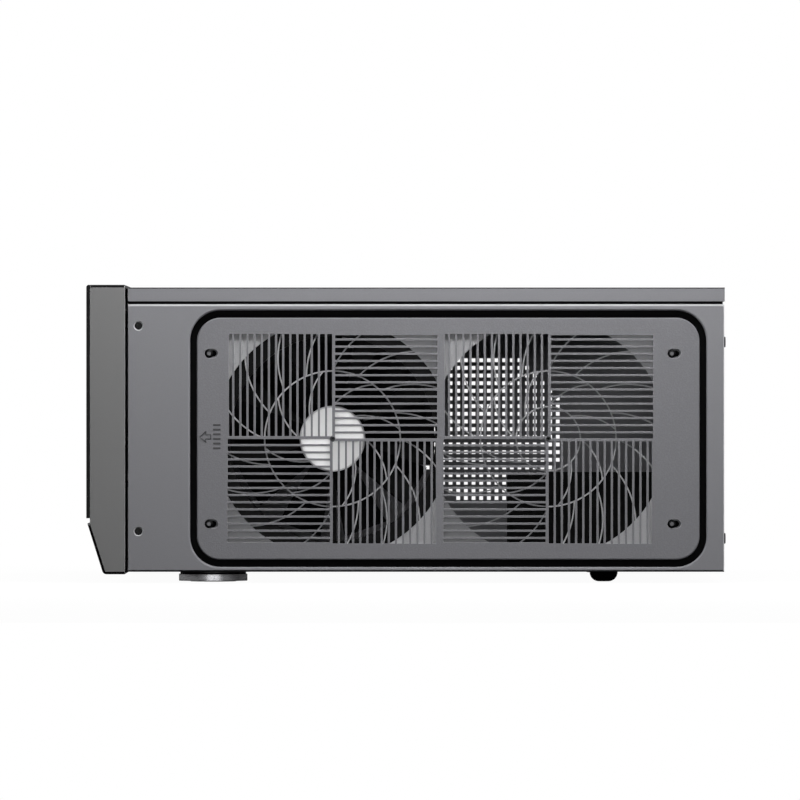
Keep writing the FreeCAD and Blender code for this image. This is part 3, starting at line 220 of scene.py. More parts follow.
@dataclass(frozen=True)
class Finish:
    """A surface finish with fine grain, uneven tone and a little dust or wear."""

    name: str
    colour: Colour
    roughness: float = 0.5
    metallic: float = 0.0
    grain: Grain = Grain.CLOUDY
    grain_size: float = 1200.0
    grain_depth: float = 0.15
    tone_spread: float = 0.06
    fleck: float = 0.0
    coat: float = 0.0
    specular: float = 0.5

    def material(self) -> bpy.types.Material:
        """Build the node material.

        Returns:
            The material.
        """
        sheet = NodeSheet(self.name)
        broad = sheet.noise(BROAD_SCALE, 3.0)
        fine = self._fine(sheet)
        tone = 1.0 + (broad - 0.5) * self.tone_spread * 2.0 + (fine - 0.5) * self.fleck
        base = linear(self.colour)
        shaded = sheet.node("ShaderNodeVectorMath", {"operation": "SCALE"},
                            {0: base[:3], 3: tone}).outputs[0]
        rough = self.roughness + (broad - 0.5) * BROAD_ROUGHNESS + (fine - 0.5) * FINE_ROUGHNESS
        bump = sheet.node("ShaderNodeBump", {}, {
            "Strength": self.grain_depth, "Distance": GRAIN_HEIGHT, "Height": fine})
        shader = sheet.node("ShaderNodeBsdfPrincipled", {}, {
            "Base Color": shaded, "Roughness": rough, "Metallic": self.metallic,
            "Coat Weight": self.coat, "Specular IOR Level": self.specular,
            "Normal": bump.outputs[0]})
        return sheet.close(shader.outputs[0])

    def _fine(self, sheet: NodeSheet) -> Shade:
        """The finest texture.

        Args:
            sheet: The material's nodes.

        Returns:
            A value about one half.
        """
        if self.grain is Grain.BRUSHED:
            return sheet.noise(self.grain_size, 3.0, (0.012, 1.0, 1.0))
        if self.grain is Grain.TURNED:
            return sheet.noise(self.grain_size, 2.0, (1.0, 1.0, 0.2))
        if self.grain is Grain.SPECKLED:
            cells = sheet.node("ShaderNodeTexVoronoi", {"feature": "SMOOTH_F1"}, {
                "Vector": sheet.places(), "Scale": self.grain_size, "Smoothness": 0.6})
            return Shade(sheet, cells.outputs["Distance"]) * 0.8 + sheet.noise(self.grain_size * 2.1) * 0.2
        return sheet.noise(self.grain_size, 3.0)


PANEL_PAINT = Finish("panel_paint", (0.52, 0.52, 0.535), 0.46, grain=Grain.SPECKLED, grain_size=1500.0,
    grain_depth=0.16, tone_spread=0.03, fleck=0.08, specular=0.2)
# Lighter copy of the panel paint for bevels, folds and dimple slopes: a painted highlight.
PANEL_EDGE_HIGHLIGHT = Finish("panel_edge_highlight", (0.70, 0.70, 0.71), 0.40, grain=Grain.SPECKLED, grain_size=1500.0,
    grain_depth=0.10, tone_spread=0.03, fleck=0.06, specular=0.2)
FOLD_SHADE = Finish("fold_shade", (0.20, 0.20, 0.205), 0.55, grain=Grain.SPECKLED, grain_size=1500.0,
    grain_depth=0.10, tone_spread=0.04, fleck=0.08, specular=0.1)
# Near-black copy of the panel paint: painted shade in the recess and in the seam under the cover.
RECESS_SHADE = Finish("recess_shade", (0.03, 0.03, 0.033), 0.75, grain=Grain.SPECKLED, grain_size=1500.0,
    grain_depth=0.10, tone_spread=0.05, fleck=0.08, specular=0.1)
# Grey for the side faces of the black front moulding: a painted sheen.
CHEEK_SHEEN_MOULDING = Finish("cheek_sheen_moulding", (0.48, 0.48, 0.48), 0.42, grain_size=1900.0, grain_depth=0.10,
    tone_spread=0.03, fleck=0.06, specular=0.2)
# Lighter grey for the bevels of those sides: a painted highlight.
CHEEK_EDGE_HIGHLIGHT = Finish("cheek_edge_highlight", (0.60, 0.60, 0.60), 0.38, grain_size=1900.0, grain_depth=0.08,
    tone_spread=0.03, fleck=0.05, specular=0.2)
FRONT_MOULDING = Finish("front_moulding", (0.025, 0.025, 0.027), 0.50, grain=Grain.SPECKLED,
    grain_size=1700.0, grain_depth=0.20, fleck=0.10, specular=0.06)
PLATE_METAL = Finish("plate_metal", (0.03, 0.03, 0.033), 0.40, grain=Grain.BRUSHED, grain_size=1500.0,
    grain_depth=0.20, tone_spread=0.05, fleck=0.30, specular=0.12)
# Lighter metallic copy of the black plate metal for the front faces: a painted sheen.
PLATE_FACE_SHEEN = Finish("plate_face_sheen", (0.13, 0.13, 0.135), 0.38, metallic=0.5, grain=Grain.BRUSHED,
    grain_size=1500.0, grain_depth=0.25, tone_spread=0.05, fleck=0.40, specular=0.3)
GRILLE_MOULDING = Finish("grille_moulding", (0.48, 0.48, 0.495), 0.50, grain=Grain.SPECKLED,
    grain_size=1300.0, grain_depth=0.40, tone_spread=0.04, fleck=0.20, specular=0.25)
# Lighter copy of the grille moulding for its bevels: a painted highlight.
GRILLE_EDGE_HIGHLIGHT = Finish("grille_edge", (0.68, 0.68, 0.69), 0.45, grain=Grain.SPECKLED, grain_size=1300.0,
    grain_depth=0.20, tone_spread=0.04, fleck=0.12, specular=0.25)
# Guard moulding much lighter than the grille's: painted light against the shadow of the slats.
GUARD_MOULDING_PAINTED_LIGHT = Finish("guard_moulding_painted_light", (0.80, 0.80, 0.81), 0.50, grain=Grain.SPECKLED, grain_size=1300.0,
    grain_depth=0.30, tone_spread=0.04, fleck=0.15, specular=0.25)
MARK_MOULDING = Finish("mark_moulding", (0.26, 0.26, 0.27), 0.55, grain=Grain.SPECKLED, grain_size=1300.0,
    grain_depth=0.30, tone_spread=0.04, fleck=0.15)
PIN_MOULDING = Finish("pin_moulding", (0.10, 0.10, 0.105), 0.40, grain_size=1500.0, grain_depth=0.10,
    tone_spread=0.04, fleck=0.08)
INNER_PAINT = Finish("inner_paint", (0.06, 0.06, 0.064), 0.50, grain=Grain.SPECKLED, grain_size=1400.0,
    grain_depth=0.18, tone_spread=0.08, fleck=0.12, specular=0.2)
ZINC_SHEET = Finish("zinc_sheet", (0.58, 0.59, 0.60), 0.38, metallic=0.8, grain_size=240.0,
    grain_depth=0.06, tone_spread=0.10, fleck=0.10)
PLATED_SCREW = Finish("plated_screw", (0.56, 0.56, 0.57), 0.32, metallic=0.9, grain=Grain.TURNED,
    grain_size=1500.0, grain_depth=0.10, fleck=0.08)
BLACK_SCREW = Finish("black_screw", (0.03, 0.03, 0.033), 0.30, grain=Grain.TURNED, grain_size=1500.0,
    grain_depth=0.10, tone_spread=0.08, fleck=0.10, specular=0.12)
# Bright metal for a spot on each stud's tip: a painted highlight.
STUD_GLINT = Finish("stud_glint", (0.36, 0.36, 0.37), 0.40, metallic=0.9, grain=Grain.TURNED, grain_size=1500.0,
    grain_depth=0.06, tone_spread=0.03, fleck=0.05)
FAN_PLASTIC = Finish("fan_plastic", (0.035, 0.035, 0.038), 0.42, grain_size=900.0, grain_depth=0.10,
    tone_spread=0.08, fleck=0.10, specular=0.12)
FOIL_STICKER = Finish("foil_sticker", (0.95, 0.95, 0.95), 0.42, metallic=0.9, grain_size=700.0,
    grain_depth=0.05, tone_spread=0.10, fleck=0.03)
TURNED_BRASS = Finish("turned_brass", (0.78, 0.62, 0.32), 0.28, metallic=0.95, grain=Grain.TURNED,
    grain_size=1500.0, grain_depth=0.12, fleck=0.08)
FOOT_RUBBER = Finish("foot_rubber", (0.03, 0.03, 0.03), 0.60, grain_size=1500.0, grain_depth=0.25,
    tone_spread=0.10, fleck=0.15, specular=0.06)
FOOT_GLOSS = Finish("foot_gloss", (0.05, 0.05, 0.05), 0.22, grain_size=500.0, grain_depth=0.03, fleck=0.04,
    coat=0.2, specular=0.3)
FOOT_CHROME = Finish("foot_chrome", (0.74, 0.74, 0.75), 0.25, metallic=1.0, grain_size=30.0,
    grain_depth=0.01, tone_spread=0.04, fleck=0.04)
BUTTON_METAL = Finish("button_metal", (0.66, 0.66, 0.66), 0.26, metallic=0.8, grain=Grain.TURNED,
    grain_size=1800.0, grain_depth=0.08, tone_spread=0.04, fleck=0.06)
LENS_CLEAR = Finish("lens_clear", (0.80, 0.83, 0.85), 0.12, grain_size=400.0, grain_depth=0.02,
    tone_spread=0.04, fleck=0.02, coat=0.6)
BOARD_LAMINATE = Finish("board_laminate", (0.12, 0.34, 0.20), 0.40, grain_size=900.0, grain_depth=0.08,
    tone_spread=0.10, fleck=0.12)
PART_MOULDING = Finish("part_moulding", (0.10, 0.10, 0.105), 0.45, grain_depth=0.10, tone_spread=0.08,
    fleck=0.08)

SLOT_FINISHES: dict[str, Finish] = {
    "grey_paint": PANEL_PAINT, "steel": ZINC_SHEET, "inner_black": INNER_PAINT, "stud_black": BLACK_SCREW,
    "screw_steel": PLATED_SCREW, "bezel_grey": FRONT_MOULDING, "plate_black": PLATE_METAL,
    "grille_grey": GRILLE_MOULDING, "fan_black": FAN_PLASTIC, "sticker_silver": FOIL_STICKER,
    "standoff_brass": TURNED_BRASS, "foot_rubber": FOOT_RUBBER, "foot_black": FOOT_GLOSS,
    "foot_chrome": FOOT_CHROME, "button_silver": BUTTON_METAL, "lens_clear": LENS_CLEAR,
    "board_green": BOARD_LAMINATE, "part_black": PART_MOULDING,
}


class Paintbox:
    """Makes each finish's material once and hands it out."""

    def __init__(self) -> None:
        """Start with no materials made."""
        self.made: dict[str, bpy.types.Material] = {}

    def get(self, finish: Finish) -> bpy.types.Material:
        """The material of a finish.

        Args:
            finish: The finish wanted.

        Returns:
            Its material.
        """
        if finish.name not in self.made:
            self.made[finish.name] = finish.material()
        return self.made[finish.name]

    def paint(self, obj: bpy.types.Object, *finishes: Finish) -> None:
        """Give an object its finishes, one for each material slot."""
        obj.data.materials.clear()
        for finish in finishes:
            obj.data.materials.append(self.get(finish))


PAINTS = Paintbox()


def only(obj: bpy.types.Object) -> None:
    """Select one object alone and make it active."""
    bpy.ops.object.select_all(action="DESELECT")
    obj.select_set(True)
    bpy.context.view_layer.objects.active = obj


class Axis(Enum):
    """The way a fastener's head faces."""

    RIGHT = Vector((1.0, 0.0, 0.0))
    LEFT = Vector((-1.0, 0.0, 0.0))
    REAR = Vector((0.0, 1.0, 0.0))
    UP = Vector((0.0, 0.0, 1.0))


@dataclass
class Craft:
    """One piece on the bench: its mesh is shaped by operators, then it is finished."""

    obj: bpy.types.Object

    @classmethod
    def from_node(cls, node: str, name: str) -> "Craft":
        """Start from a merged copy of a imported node's mesh.

        Args:
            node: The node to copy.
            name: The new piece's name.

        Returns:
            The piece.
        """
        mesh = FRAME["nodes"][node].data.copy()
        mesh.name = name
        obj = bpy.data.objects.new(name, mesh)
        bpy.context.scene.collection.objects.link(obj)
        only(obj)
        bpy.ops.mesh.customdata_custom_splitnormals_clear()
        bpy.ops.object.mode_set(mode="EDIT")
        bpy.ops.mesh.select_all(action="SELECT")
        bpy.ops.mesh.remove_doubles(threshold=0.004 * MM)
        bpy.ops.mesh.dissolve_limited(angle_limit=math.radians(0.6))
        bpy.ops.object.mode_set(mode="OBJECT")
        return cls(obj)

    @classmethod
    def block(cls, name: str, centre: Sequence[float], sides: Sequence[float]) -> "Craft":
        """Start from a box with its place and size in the mesh.

        Args:
            name: The new piece's name.
            centre: The box's centre.
            sides: Its three sides.

        Returns:
            The piece.
        """
        bpy.ops.object.select_all(action="DESELECT")
        bpy.ops.mesh.primitive_cube_add(size=1.0, location=centre)
        return cls._settled(name, sides)

    @classmethod
    def sheet(cls, name: str, centre: Sequence[float], depth: float, height: float) -> "Craft":
        """Start from a flat upright rectangle that faces right.

        Args:
            name: The new piece's name.
            centre: The rectangle's centre.
            depth: Its size along Y.
            height: Its size along Z.

        Returns:
            The piece.
        """
        bpy.ops.object.select_all(action="DESELECT")
        bpy.ops.mesh.primitive_plane_add(size=1.0, location=centre, rotation=(0.0, math.pi / 2, 0.0))
        return cls._settled(name, (height, depth, 1.0))

    @classmethod
    def _settled(cls, name: str, scale: Sequence[float]) -> "Craft":
        """Scale the new primitive and put its place into its mesh."""
        obj = bpy.context.active_object
        obj.name = name
        obj.data.name = name
        obj.scale = scale
        bpy.ops.object.transform_apply(location=True, rotation=True, scale=True)
        return cls(obj)

    def pick(self, test: Callable[[Vector, Vector], bool]) -> "Craft":
        """Enter edit mode with the faces that pass a test selected.

        Args:
            test: Takes a face's centre and normal.

        Returns:
            The same piece, in edit mode.
        """
        only(self.obj)
        bpy.ops.object.mode_set(mode="EDIT")
        bpy.ops.mesh.select_mode(type="FACE")
        bpy.ops.mesh.select_all(action="DESELECT")
        bpy.ops.object.mode_set(mode="OBJECT")
        for face in self.obj.data.polygons:
            face.select = test(face.center, face.normal)
        bpy.ops.object.mode_set(mode="EDIT")
        return self

    def pick_edges(self, test: Callable[[Vector], bool]) -> "Craft":
        """Enter edit mode with the edges that pass a test selected.

        Args:
            test: Takes an edge's middle.

        Returns:
            The same piece, in edit mode.
        """
        only(self.obj)
        bpy.ops.object.mode_set(mode="EDIT")
        bpy.ops.mesh.select_mode(type="EDGE")
        bpy.ops.mesh.select_all(action="DESELECT")
        bpy.ops.object.mode_set(mode="OBJECT")
        spots = self.obj.data.vertices
        for edge in self.obj.data.edges:
            first, second = edge.vertices
            edge.select = test((spots[first].co + spots[second].co) / 2)
        bpy.ops.object.mode_set(mode="EDIT")
        return self

    def done(self) -> "Craft":
        """Leave edit mode."""
        bpy.ops.object.mode_set(mode="OBJECT")
        return self

    def bevel(self, width: float, segments: int = 2, angle: float = 35.0, mark: int = -1) -> "Craft":
        """Round the sharp edges.

        Args:
            width: Bevel width in metres.
            segments: Facets across it.
            angle: Only edges sharper than this, in degrees.
            mark: Number of the finish that the new faces take, if not their neighbours'.

        Returns:
            The same piece.
        """
        modifier = self.obj.modifiers.new("edges", "BEVEL")
        modifier.width = width
        modifier.segments = segments
        modifier.limit_method = "ANGLE"
        modifier.angle_limit = math.radians(angle)
        modifier.use_clamp_overlap = True
        self.slots(mark + 1)
        modifier.material = mark
        return self.apply("edges")

    def slots(self, count: int) -> "Craft":
        """Make sure that there are enough material slots.

        Args:
            count: How many finishes the piece takes.

        Returns:
            The same piece.
        """
        while len(self.obj.data.materials) < count:
            self.obj.data.materials.append(None)
        return self

    def thicken(self, thickness: float, offset: float) -> "Craft":
        """Give a sheet its thickness.

        Args:
            thickness: The thickness in metres.
            offset: Which side grows, -1 to 1.

        Returns:
            The same piece.
        """
        modifier = self.obj.modifiers.new("wall", "SOLIDIFY")
        modifier.thickness = thickness
        modifier.offset = offset
        return self.apply("wall")

    def cut(self, cutter: "Craft") -> "Craft":
        """Cut another piece's shape away and use that piece up.

        Args:
            cutter: The shape to take away.

        Returns:
            The same piece.
        """
        modifier = self.obj.modifiers.new("cut", "BOOLEAN")
        modifier.operation = "DIFFERENCE"
        modifier.solver = "EXACT"
        modifier.object = cutter.obj
        self.apply("cut")
        bpy.data.objects.remove(cutter.obj)
        return self

    def apply(self, modifier: str) -> "Craft":
        """Apply a modifier by name.

        Args:
            modifier: The modifier's name.

        Returns:
            The same piece.
        """
        only(self.obj)
        bpy.ops.object.modifier_apply(modifier=modifier)
        return self

    def smooth(self, angle: float = 35.0) -> "Craft":
        """Shade smooth across flat edges, with the large faces kept flat.

        Args:
            angle: Edges flatter than this, in degrees, are smooth.

        Returns:
            The same piece.
        """
        only(self.obj)
        bpy.ops.object.shade_smooth_by_angle(angle=math.radians(angle))
        modifier = self.obj.modifiers.new("normals", "WEIGHTED_NORMAL")
        modifier.mode = "FACE_AREA"
        modifier.weight = 100
        modifier.keep_sharp = True
        return self.apply("normals")

    def copies(self, shifts: Sequence[Sequence[float]]) -> "Craft":
        """Copy the piece to other places and join the lot.

        Args:
            shifts: How far each copy moves.

        Returns:
            The joined piece.
        """
        made = [self.obj]
        for shift in shifts:
            only(self.obj)
            bpy.ops.object.duplicate()
            bpy.ops.transform.translate(value=shift)
            bpy.ops.object.transform_apply(location=True, rotation=True, scale=True)
            made.append(bpy.context.active_object)
        only(self.obj)
        for obj in made:
            obj.select_set(True)
        bpy.ops.object.join()
        return self

    def mark(self, number: int, test: Callable[[Vector, Vector], bool]) -> "Craft":
        """Mark the faces that take another finish.

        Args:
            number: Number of the finish, from 0.
            test: Takes a face's centre and normal.

        Returns:
            The same piece.
        """
        self.slots(number + 1)
        self.pick(test)
        self.obj.active_material_index = number
        bpy.ops.object.material_slot_assign()
        return self.done()

    def finish(self, paint: Union[Finish, Sequence[Finish]], slot: str, body: str,
               *nodes: str) -> bpy.types.Object:
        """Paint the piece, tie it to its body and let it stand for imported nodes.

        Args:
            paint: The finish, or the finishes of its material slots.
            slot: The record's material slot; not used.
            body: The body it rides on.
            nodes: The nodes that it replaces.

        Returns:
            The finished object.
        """
        marks = [face.material_index for face in self.obj.data.polygons]
        PAINTS.paint(self.obj, *([paint] if isinstance(paint, Finish) else paint))
        self.obj.data.polygons.foreach_set("material_index", marks)
        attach(self.obj, body)
        if nodes:
            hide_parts(*nodes)
        LOG.info("%s: %d faces", self.obj.name, len(self.obj.data.polygons))
        return self.obj


def soften_node(node: str, paint: Finish, slot: str, body: str, width: float, segments: int = 2,
                angle: float = 35.0) -> bpy.types.Object:
    """Replace a node by a copy with softened edges.

    Args:
        node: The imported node.
        paint: Its finish.
        slot: Its material slot.
        body: The body it rides on.
        width: Edge width in metres, or nothing to smooth only.
        segments: Facets across each edge.
        angle: Edges sharper than this are softened.

    Returns:
        The finished object.
    """
    craft = Craft.from_node(node, f"{node}_skin")
    if width > 0.0:
        craft.bevel(width, segments, angle)
    return craft.smooth(angle).finish(paint, slot, body, node)


def islands(node: str) -> list[tuple[Vector, Vector]]:
    """The boxes of a node's separate solids.

    Args:
        node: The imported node.

    Returns:
        Lowest and highest corners, in order along X, Y and Z.
    """
    craft = Craft.from_node(node, "loose")
    only(craft.obj)
    bpy.ops.object.mode_set(mode="EDIT")
    bpy.ops.mesh.select_all(action="SELECT")
    bpy.ops.mesh.separate(type="LOOSE")
    bpy.ops.object.mode_set(mode="OBJECT")
    boxes = []
    for obj in list(bpy.context.selected_objects):
        spots = [vertex.co for vertex in obj.data.vertices]
        low = Vector([min(spot[k] for spot in spots) for k in range(3)])
        high = Vector([max(spot[k] for spot in spots) for k in range(3)])
        boxes.append((low, high))
        bpy.data.objects.remove(obj)
    return sorted(boxes, key=lambda box: tuple(round(c, 5) for c in box[0]))


@dataclass
class Studio:
    """Floor, light and camera."""

    photo_width_mm: float = 447.9
    camera_distance: float = 6.0
    centre_y: float = -3.36 * MM
    centre_z: float = 102.5 * MM
    face_x: float = 219.0 * MM
    sensor: float = 36.0
    floor_radius: float = 1.3
    floor_glow: float = 0.96
    ambient: float = 0.14

    def build(self) -> None:
        """Set up the whole studio."""
        self._floor()
        self._world()
        self._lamps()
        self._camera()
        bpy.context.scene.view_settings.view_transform = "Standard"

    def _floor(self) -> None:
        """A pale round floor that keeps a faint shadow."""
        bpy.ops.object.select_all(action="DESELECT")
        bpy.ops.mesh.primitive_circle_add(vertices=96, radius=self.floor_radius, fill_type="NGON")
        floor = bpy.context.active_object
        floor.name = "floor"
        sheet = NodeSheet("pale_floor")
        rays = sheet.node("ShaderNodeLightPath")
        seen = Shade(sheet, rays.outputs["Is Camera Ray"])
        speck = sheet.noise(30.0, 2.0)
        pale = sheet.mix(speck, linear((0.97, 0.97, 0.97)), linear((0.985, 0.985, 0.985)))
        dull = sheet.mix(speck, linear((0.21, 0.21, 0.21)), linear((0.23, 0.23, 0.23)))
        shader = sheet.node("ShaderNodeBsdfDiffuse", {}, {"Color": sheet.mix(seen, dull, pale)})
        glow = sheet.node("ShaderNodeEmission", {}, {"Color": (1.0, 1.0, 1.0, 1.0), "Strength": 1.0})
        blend = sheet.node("ShaderNodeMixShader", {}, {
            0: seen * self.floor_glow, 1: shader.outputs[0], 2: glow.outputs[0]})
        floor.data.materials.append(sheet.close(blend.outputs[0]))

    def _world(self) -> None:
        """White where it is seen or mirrored, a soft light to everything else."""
        world = bpy.data.worlds.new("studio")
        bpy.context.scene.world = world
        world.use_nodes = True
        tree = world.node_tree
        tree.nodes.clear()
        rays = tree.nodes.new("ShaderNodeLightPath")
        seen = tree.nodes.new("ShaderNodeMath")
        seen.operation = "MAXIMUM"
        mirrored = tree.nodes.new("ShaderNodeMath")
        mirrored.operation = "MAXIMUM"
        white = tree.nodes.new("ShaderNodeBackground")
        white.inputs["Color"].default_value = (1.0, 1.0, 1.0, 1.0)
        soft = tree.nodes.new("ShaderNodeBackground")
        soft.inputs["Color"].default_value = (0.97, 0.98, 1.0, 1.0)
        soft.inputs["Strength"].default_value = self.ambient
        mix = tree.nodes.new("ShaderNodeMixShader")
        out = tree.nodes.new("ShaderNodeOutputWorld")
        tree.links.new(rays.outputs["Is Glossy Ray"], mirrored.inputs[0])
        tree.links.new(rays.outputs["Is Transmission Ray"], mirrored.inputs[1])
        tree.links.new(rays.outputs["Is Camera Ray"], seen.inputs[0])
        tree.links.new(mirrored.outputs[0], seen.inputs[1])
        tree.links.new(seen.outputs[0], mix.inputs[0])
        tree.links.new(soft.outputs[0], mix.inputs[1])
        tree.links.new(white.outputs[0], mix.inputs[2])
        tree.links.new(mix.outputs[0], out.inputs[0])

    def _lamps(self) -> None:
        """A strip close above the near side, and soft boxes around the case."""
        self._lamp("side_strip", (0.46, 0.05, 0.46), (0.219, 0.05, 0.10), (0.6, 0.15), 2.65)
        self._lamp("side_box", (3.2, 0.0, 0.17), (0.2, 0.0, 0.08), (2.4, 0.30), 9.5)
        self._lamp("top_box", (-0.3, 0.0, 2.2), (-0.1, 0.0, 0.08), (1.2, 1.6), 9.0, False)
        self._lamp("left_box", (-2.2, 0.6, 1.0), (0.0, 0.0, 0.08), (1.6, 1.2), 34.0, False)
        self._lamp("back_box", (0.4, 2.4, 1.0), (0.0, 0.0, 0.08), (1.6, 1.2), 38.0, False)
        self._lamp("front_box", (-0.4, -2.4, 1.0), (0.0, 0.0, 0.08), (1.6, 1.2), 44.0, False)

    @staticmethod
    def _lamp(name: str, place: Sequence[float], target: Sequence[float], sides: tuple[float, float],
              power: float, mirrored: bool = True) -> None:
        """Add one soft box.

        Args:
            name: The lamp's name.
            place: Where it is.
            target: Where it points.
            sides: Its length and width in metres.
            power: Its watts.
            mirrored: Whether shiny faces mirror it.
        """
        light = bpy.data.lights.new(name, "AREA")
        light.shape = "RECTANGLE"
        light.size, light.size_y = sides
        light.energy = power
        lamp = bpy.data.objects.new(name, light)
        lamp.location = place
        aim = Vector(target) - Vector(place)
        lamp.rotation_euler = aim.to_track_quat("-Z", "Y").to_euler()
        lamp.visible_camera = False
        lamp.visible_glossy = mirrored
        bpy.context.scene.collection.objects.link(lamp)

    def _camera(self) -> None:
        """A long lens square on to the right-hand side."""
        data = bpy.data.cameras.new("photo_camera")
        data.sensor_width = self.sensor
        data.lens = self.sensor * self.camera_distance / (self.photo_width_mm * MM)
        data.clip_end = 100.0
        camera = bpy.data.objects.new("photo_camera", data)
        camera.location = (self.face_x + self.camera_distance, self.centre_y, self.centre_z)
        camera.rotation_euler = (math.radians(90.0), 0.0, math.radians(90.0))
        bpy.context.scene.collection.objects.link(camera)
        bpy.context.scene.camera = camera


@dataclass
class Sheets:
    """Outer side panels and cover, and the sheets inside."""

    edge: float = 0.25 * MM
    fold: float = 0.9 * MM
    dimple_radii: tuple[float, float] = (2.0 * MM, 3.0 * MM)
    dimple_depth: float = 0.55 * MM
    dimple_over: float = 0.2 * MM
    seam: float = 1.2 * MM
    vent_y: float = 50.0 * MM
    vent_z: float = 85.0 * MM
    vent_reach: float = 49.0 * MM
    vent_paint: float = 0.4 * MM
    recess_depth: float = 1.1 * MM
    recess_margin: float = 6.0 * MM
    inner_edge: float = 0.12 * MM
    inner_nodes: tuple[str, ...] = ("rear_panel", "rear_tray", "drive_cage", "front_frame")

    def build(self) -> None:
        """Dress every sheet."""
        self._right_panel()
        self._left_panel()
        self._cover()
        for node in self.inner_nodes:
            soften_node(node, INNER_PAINT, "inner_black", "chassis", self.inner_edge, 1)
        for node in sorted(FRAME["nodes"]):
            if node.startswith("slot_cover_"):
                soften_node(node, ZINC_SHEET, "steel", "chassis", self.inner_edge, 1)

    def _right_panel(self) -> None:
        """Panel with a near-black painted shade in the recess behind the grille and in the seam under the
        cover.
        """
        low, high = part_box("side_grille")
        near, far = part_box("right_side_panel")
        deep = far.x - self.recess_depth
        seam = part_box("top_cover")[0].z - self.seam

        # Faces in the recess and in the seam under the cover take a near-black painted shade.
        def recess_or_seam_shade(centre: Vector, normal: Vector) -> bool:
            """Whether a face is in the recess or in the seam under the cover, where shade is painted near
            black.
            """
            inside_y = low.y - self.recess_margin < centre.y < high.y + self.recess_margin
            inside_z = low.z - self.recess_margin < centre.z < high.z + self.recess_margin
            return centre.z > seam or (centre.x < deep and inside_y and inside_z)

        def under(centre: Vector, normal: Vector) -> bool:
            """Whether a face is part of the lower fold."""
            return centre.z < near.z + self.fold and normal.z < -0.2

        def folded(middle: Vector) -> bool:
            """Whether an edge is one of the panel's outer folds."""
            outline = (middle.y < near.y + HAIR or middle.y > far.y - HAIR
                       or middle.z < near.z + HAIR or abs(middle.z - fold_top) < HAIR)
            return middle.x > far.x - HAIR and outline

        screws = [(first + second) / 2 for first, second in islands("panel_screws")]

        def dimpled(centre: Vector, normal: Vector) -> bool:
            """Whether a face is the slope of a screw's dimple."""
            return 0.2 < normal.x < 0.95 and any(
                (centre - spot).yz.length < self.dimple_radii[1] for spot in screws)

        craft = Craft.from_node("right_side_panel", "right_side_panel_skin")
        fold_top = max(spot.co.z for spot in craft.obj.data.vertices if spot.co.x > far.x - HAIR)
        # The outer folds and the other bevelled edges take the lighter paint: a painted highlight.
        craft.slots(3).pick_edges(folded)
        bpy.ops.mesh.bevel(offset=self.fold, segments=3, affect="EDGES", clamp_overlap=True, material=2)
        craft.done().bevel(self.edge, mark=2)
        for spot in screws:
            if spot.x > 0.0:
                craft.cut(self._dimple(far.x, spot))
        # Dimple slopes take a painted highlight, the recess and the seam a near-black painted shade, the
        # lower fold a painted shade.
        craft.mark(2, dimpled).mark(1, recess_or_seam_shade).mark(3, under).smooth()
        paints = (PANEL_PAINT, RECESS_SHADE, PANEL_EDGE_HIGHLIGHT, FOLD_SHADE)
        craft.finish(paints, "grey_paint", "chassis", "right_side_panel")

    def _dimple(self, face: float, spot: Vector) -> Craft:
        """A cone that sinks the sheet around one screw.

        Args:
            face: The panel's outer face along X.
            spot: The middle of the screw.

        Returns:
            The cutter.
        """
        depth = self.dimple_depth + self.dimple_over
        middle = face + self.dimple_over - depth / 2
        bpy.ops.object.select_all(action="DESELECT")
        inner, outer = self.dimple_radii
        bpy.ops.mesh.primitive_cone_add(vertices=40, radius1=inner, radius2=outer, depth=depth,
                                        location=(middle, spot.y, spot.z),
                                        rotation=(0.0, math.pi / 2, 0.0))
        bpy.ops.object.transform_apply(location=True, rotation=True, scale=True)
        return Craft(bpy.context.active_object)

    def _left_panel(self) -> None:
        """Panel whose vent holes are narrowed by thick paint."""
        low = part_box("left_side_panel")[0]

        def hole_wall(centre: Vector, normal: Vector) -> bool:
            """Whether a face is a wall of one of the vent's small holes."""
            away = math.hypot(centre.y - self.vent_y, centre.z - self.vent_z)
            return centre.x < low.x + self.seam and abs(normal.x) < 0.1 and away < self.vent_reach

        craft = Craft.from_node("left_side_panel", "left_side_panel_skin")
        craft.pick(hole_wall)
        bpy.ops.transform.shrink_fatten(value=self.vent_paint, use_even_offset=True)
        craft.done().smooth().finish(PANEL_PAINT, "grey_paint", "chassis", "left_side_panel")

    def _cover(self) -> None:
        """Cover with a painted shade on its upper fold and a painted highlight on its other bevelled edges.
        """
        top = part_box("top_cover")[1].z - self.fold
        # Bevelled edges take a painted highlight; the upper fold then takes a painted shade.
        craft = Craft.from_node("top_cover", "top_cover_skin").bevel(self.edge, mark=1)
        craft.mark(2, lambda centre, normal: centre.z > top and 0.1 < normal.z < 0.99).smooth()
        craft.finish((PANEL_PAINT, PANEL_EDGE_HIGHLIGHT, FOLD_SHADE), "grey_paint", "cover", "top_cover")


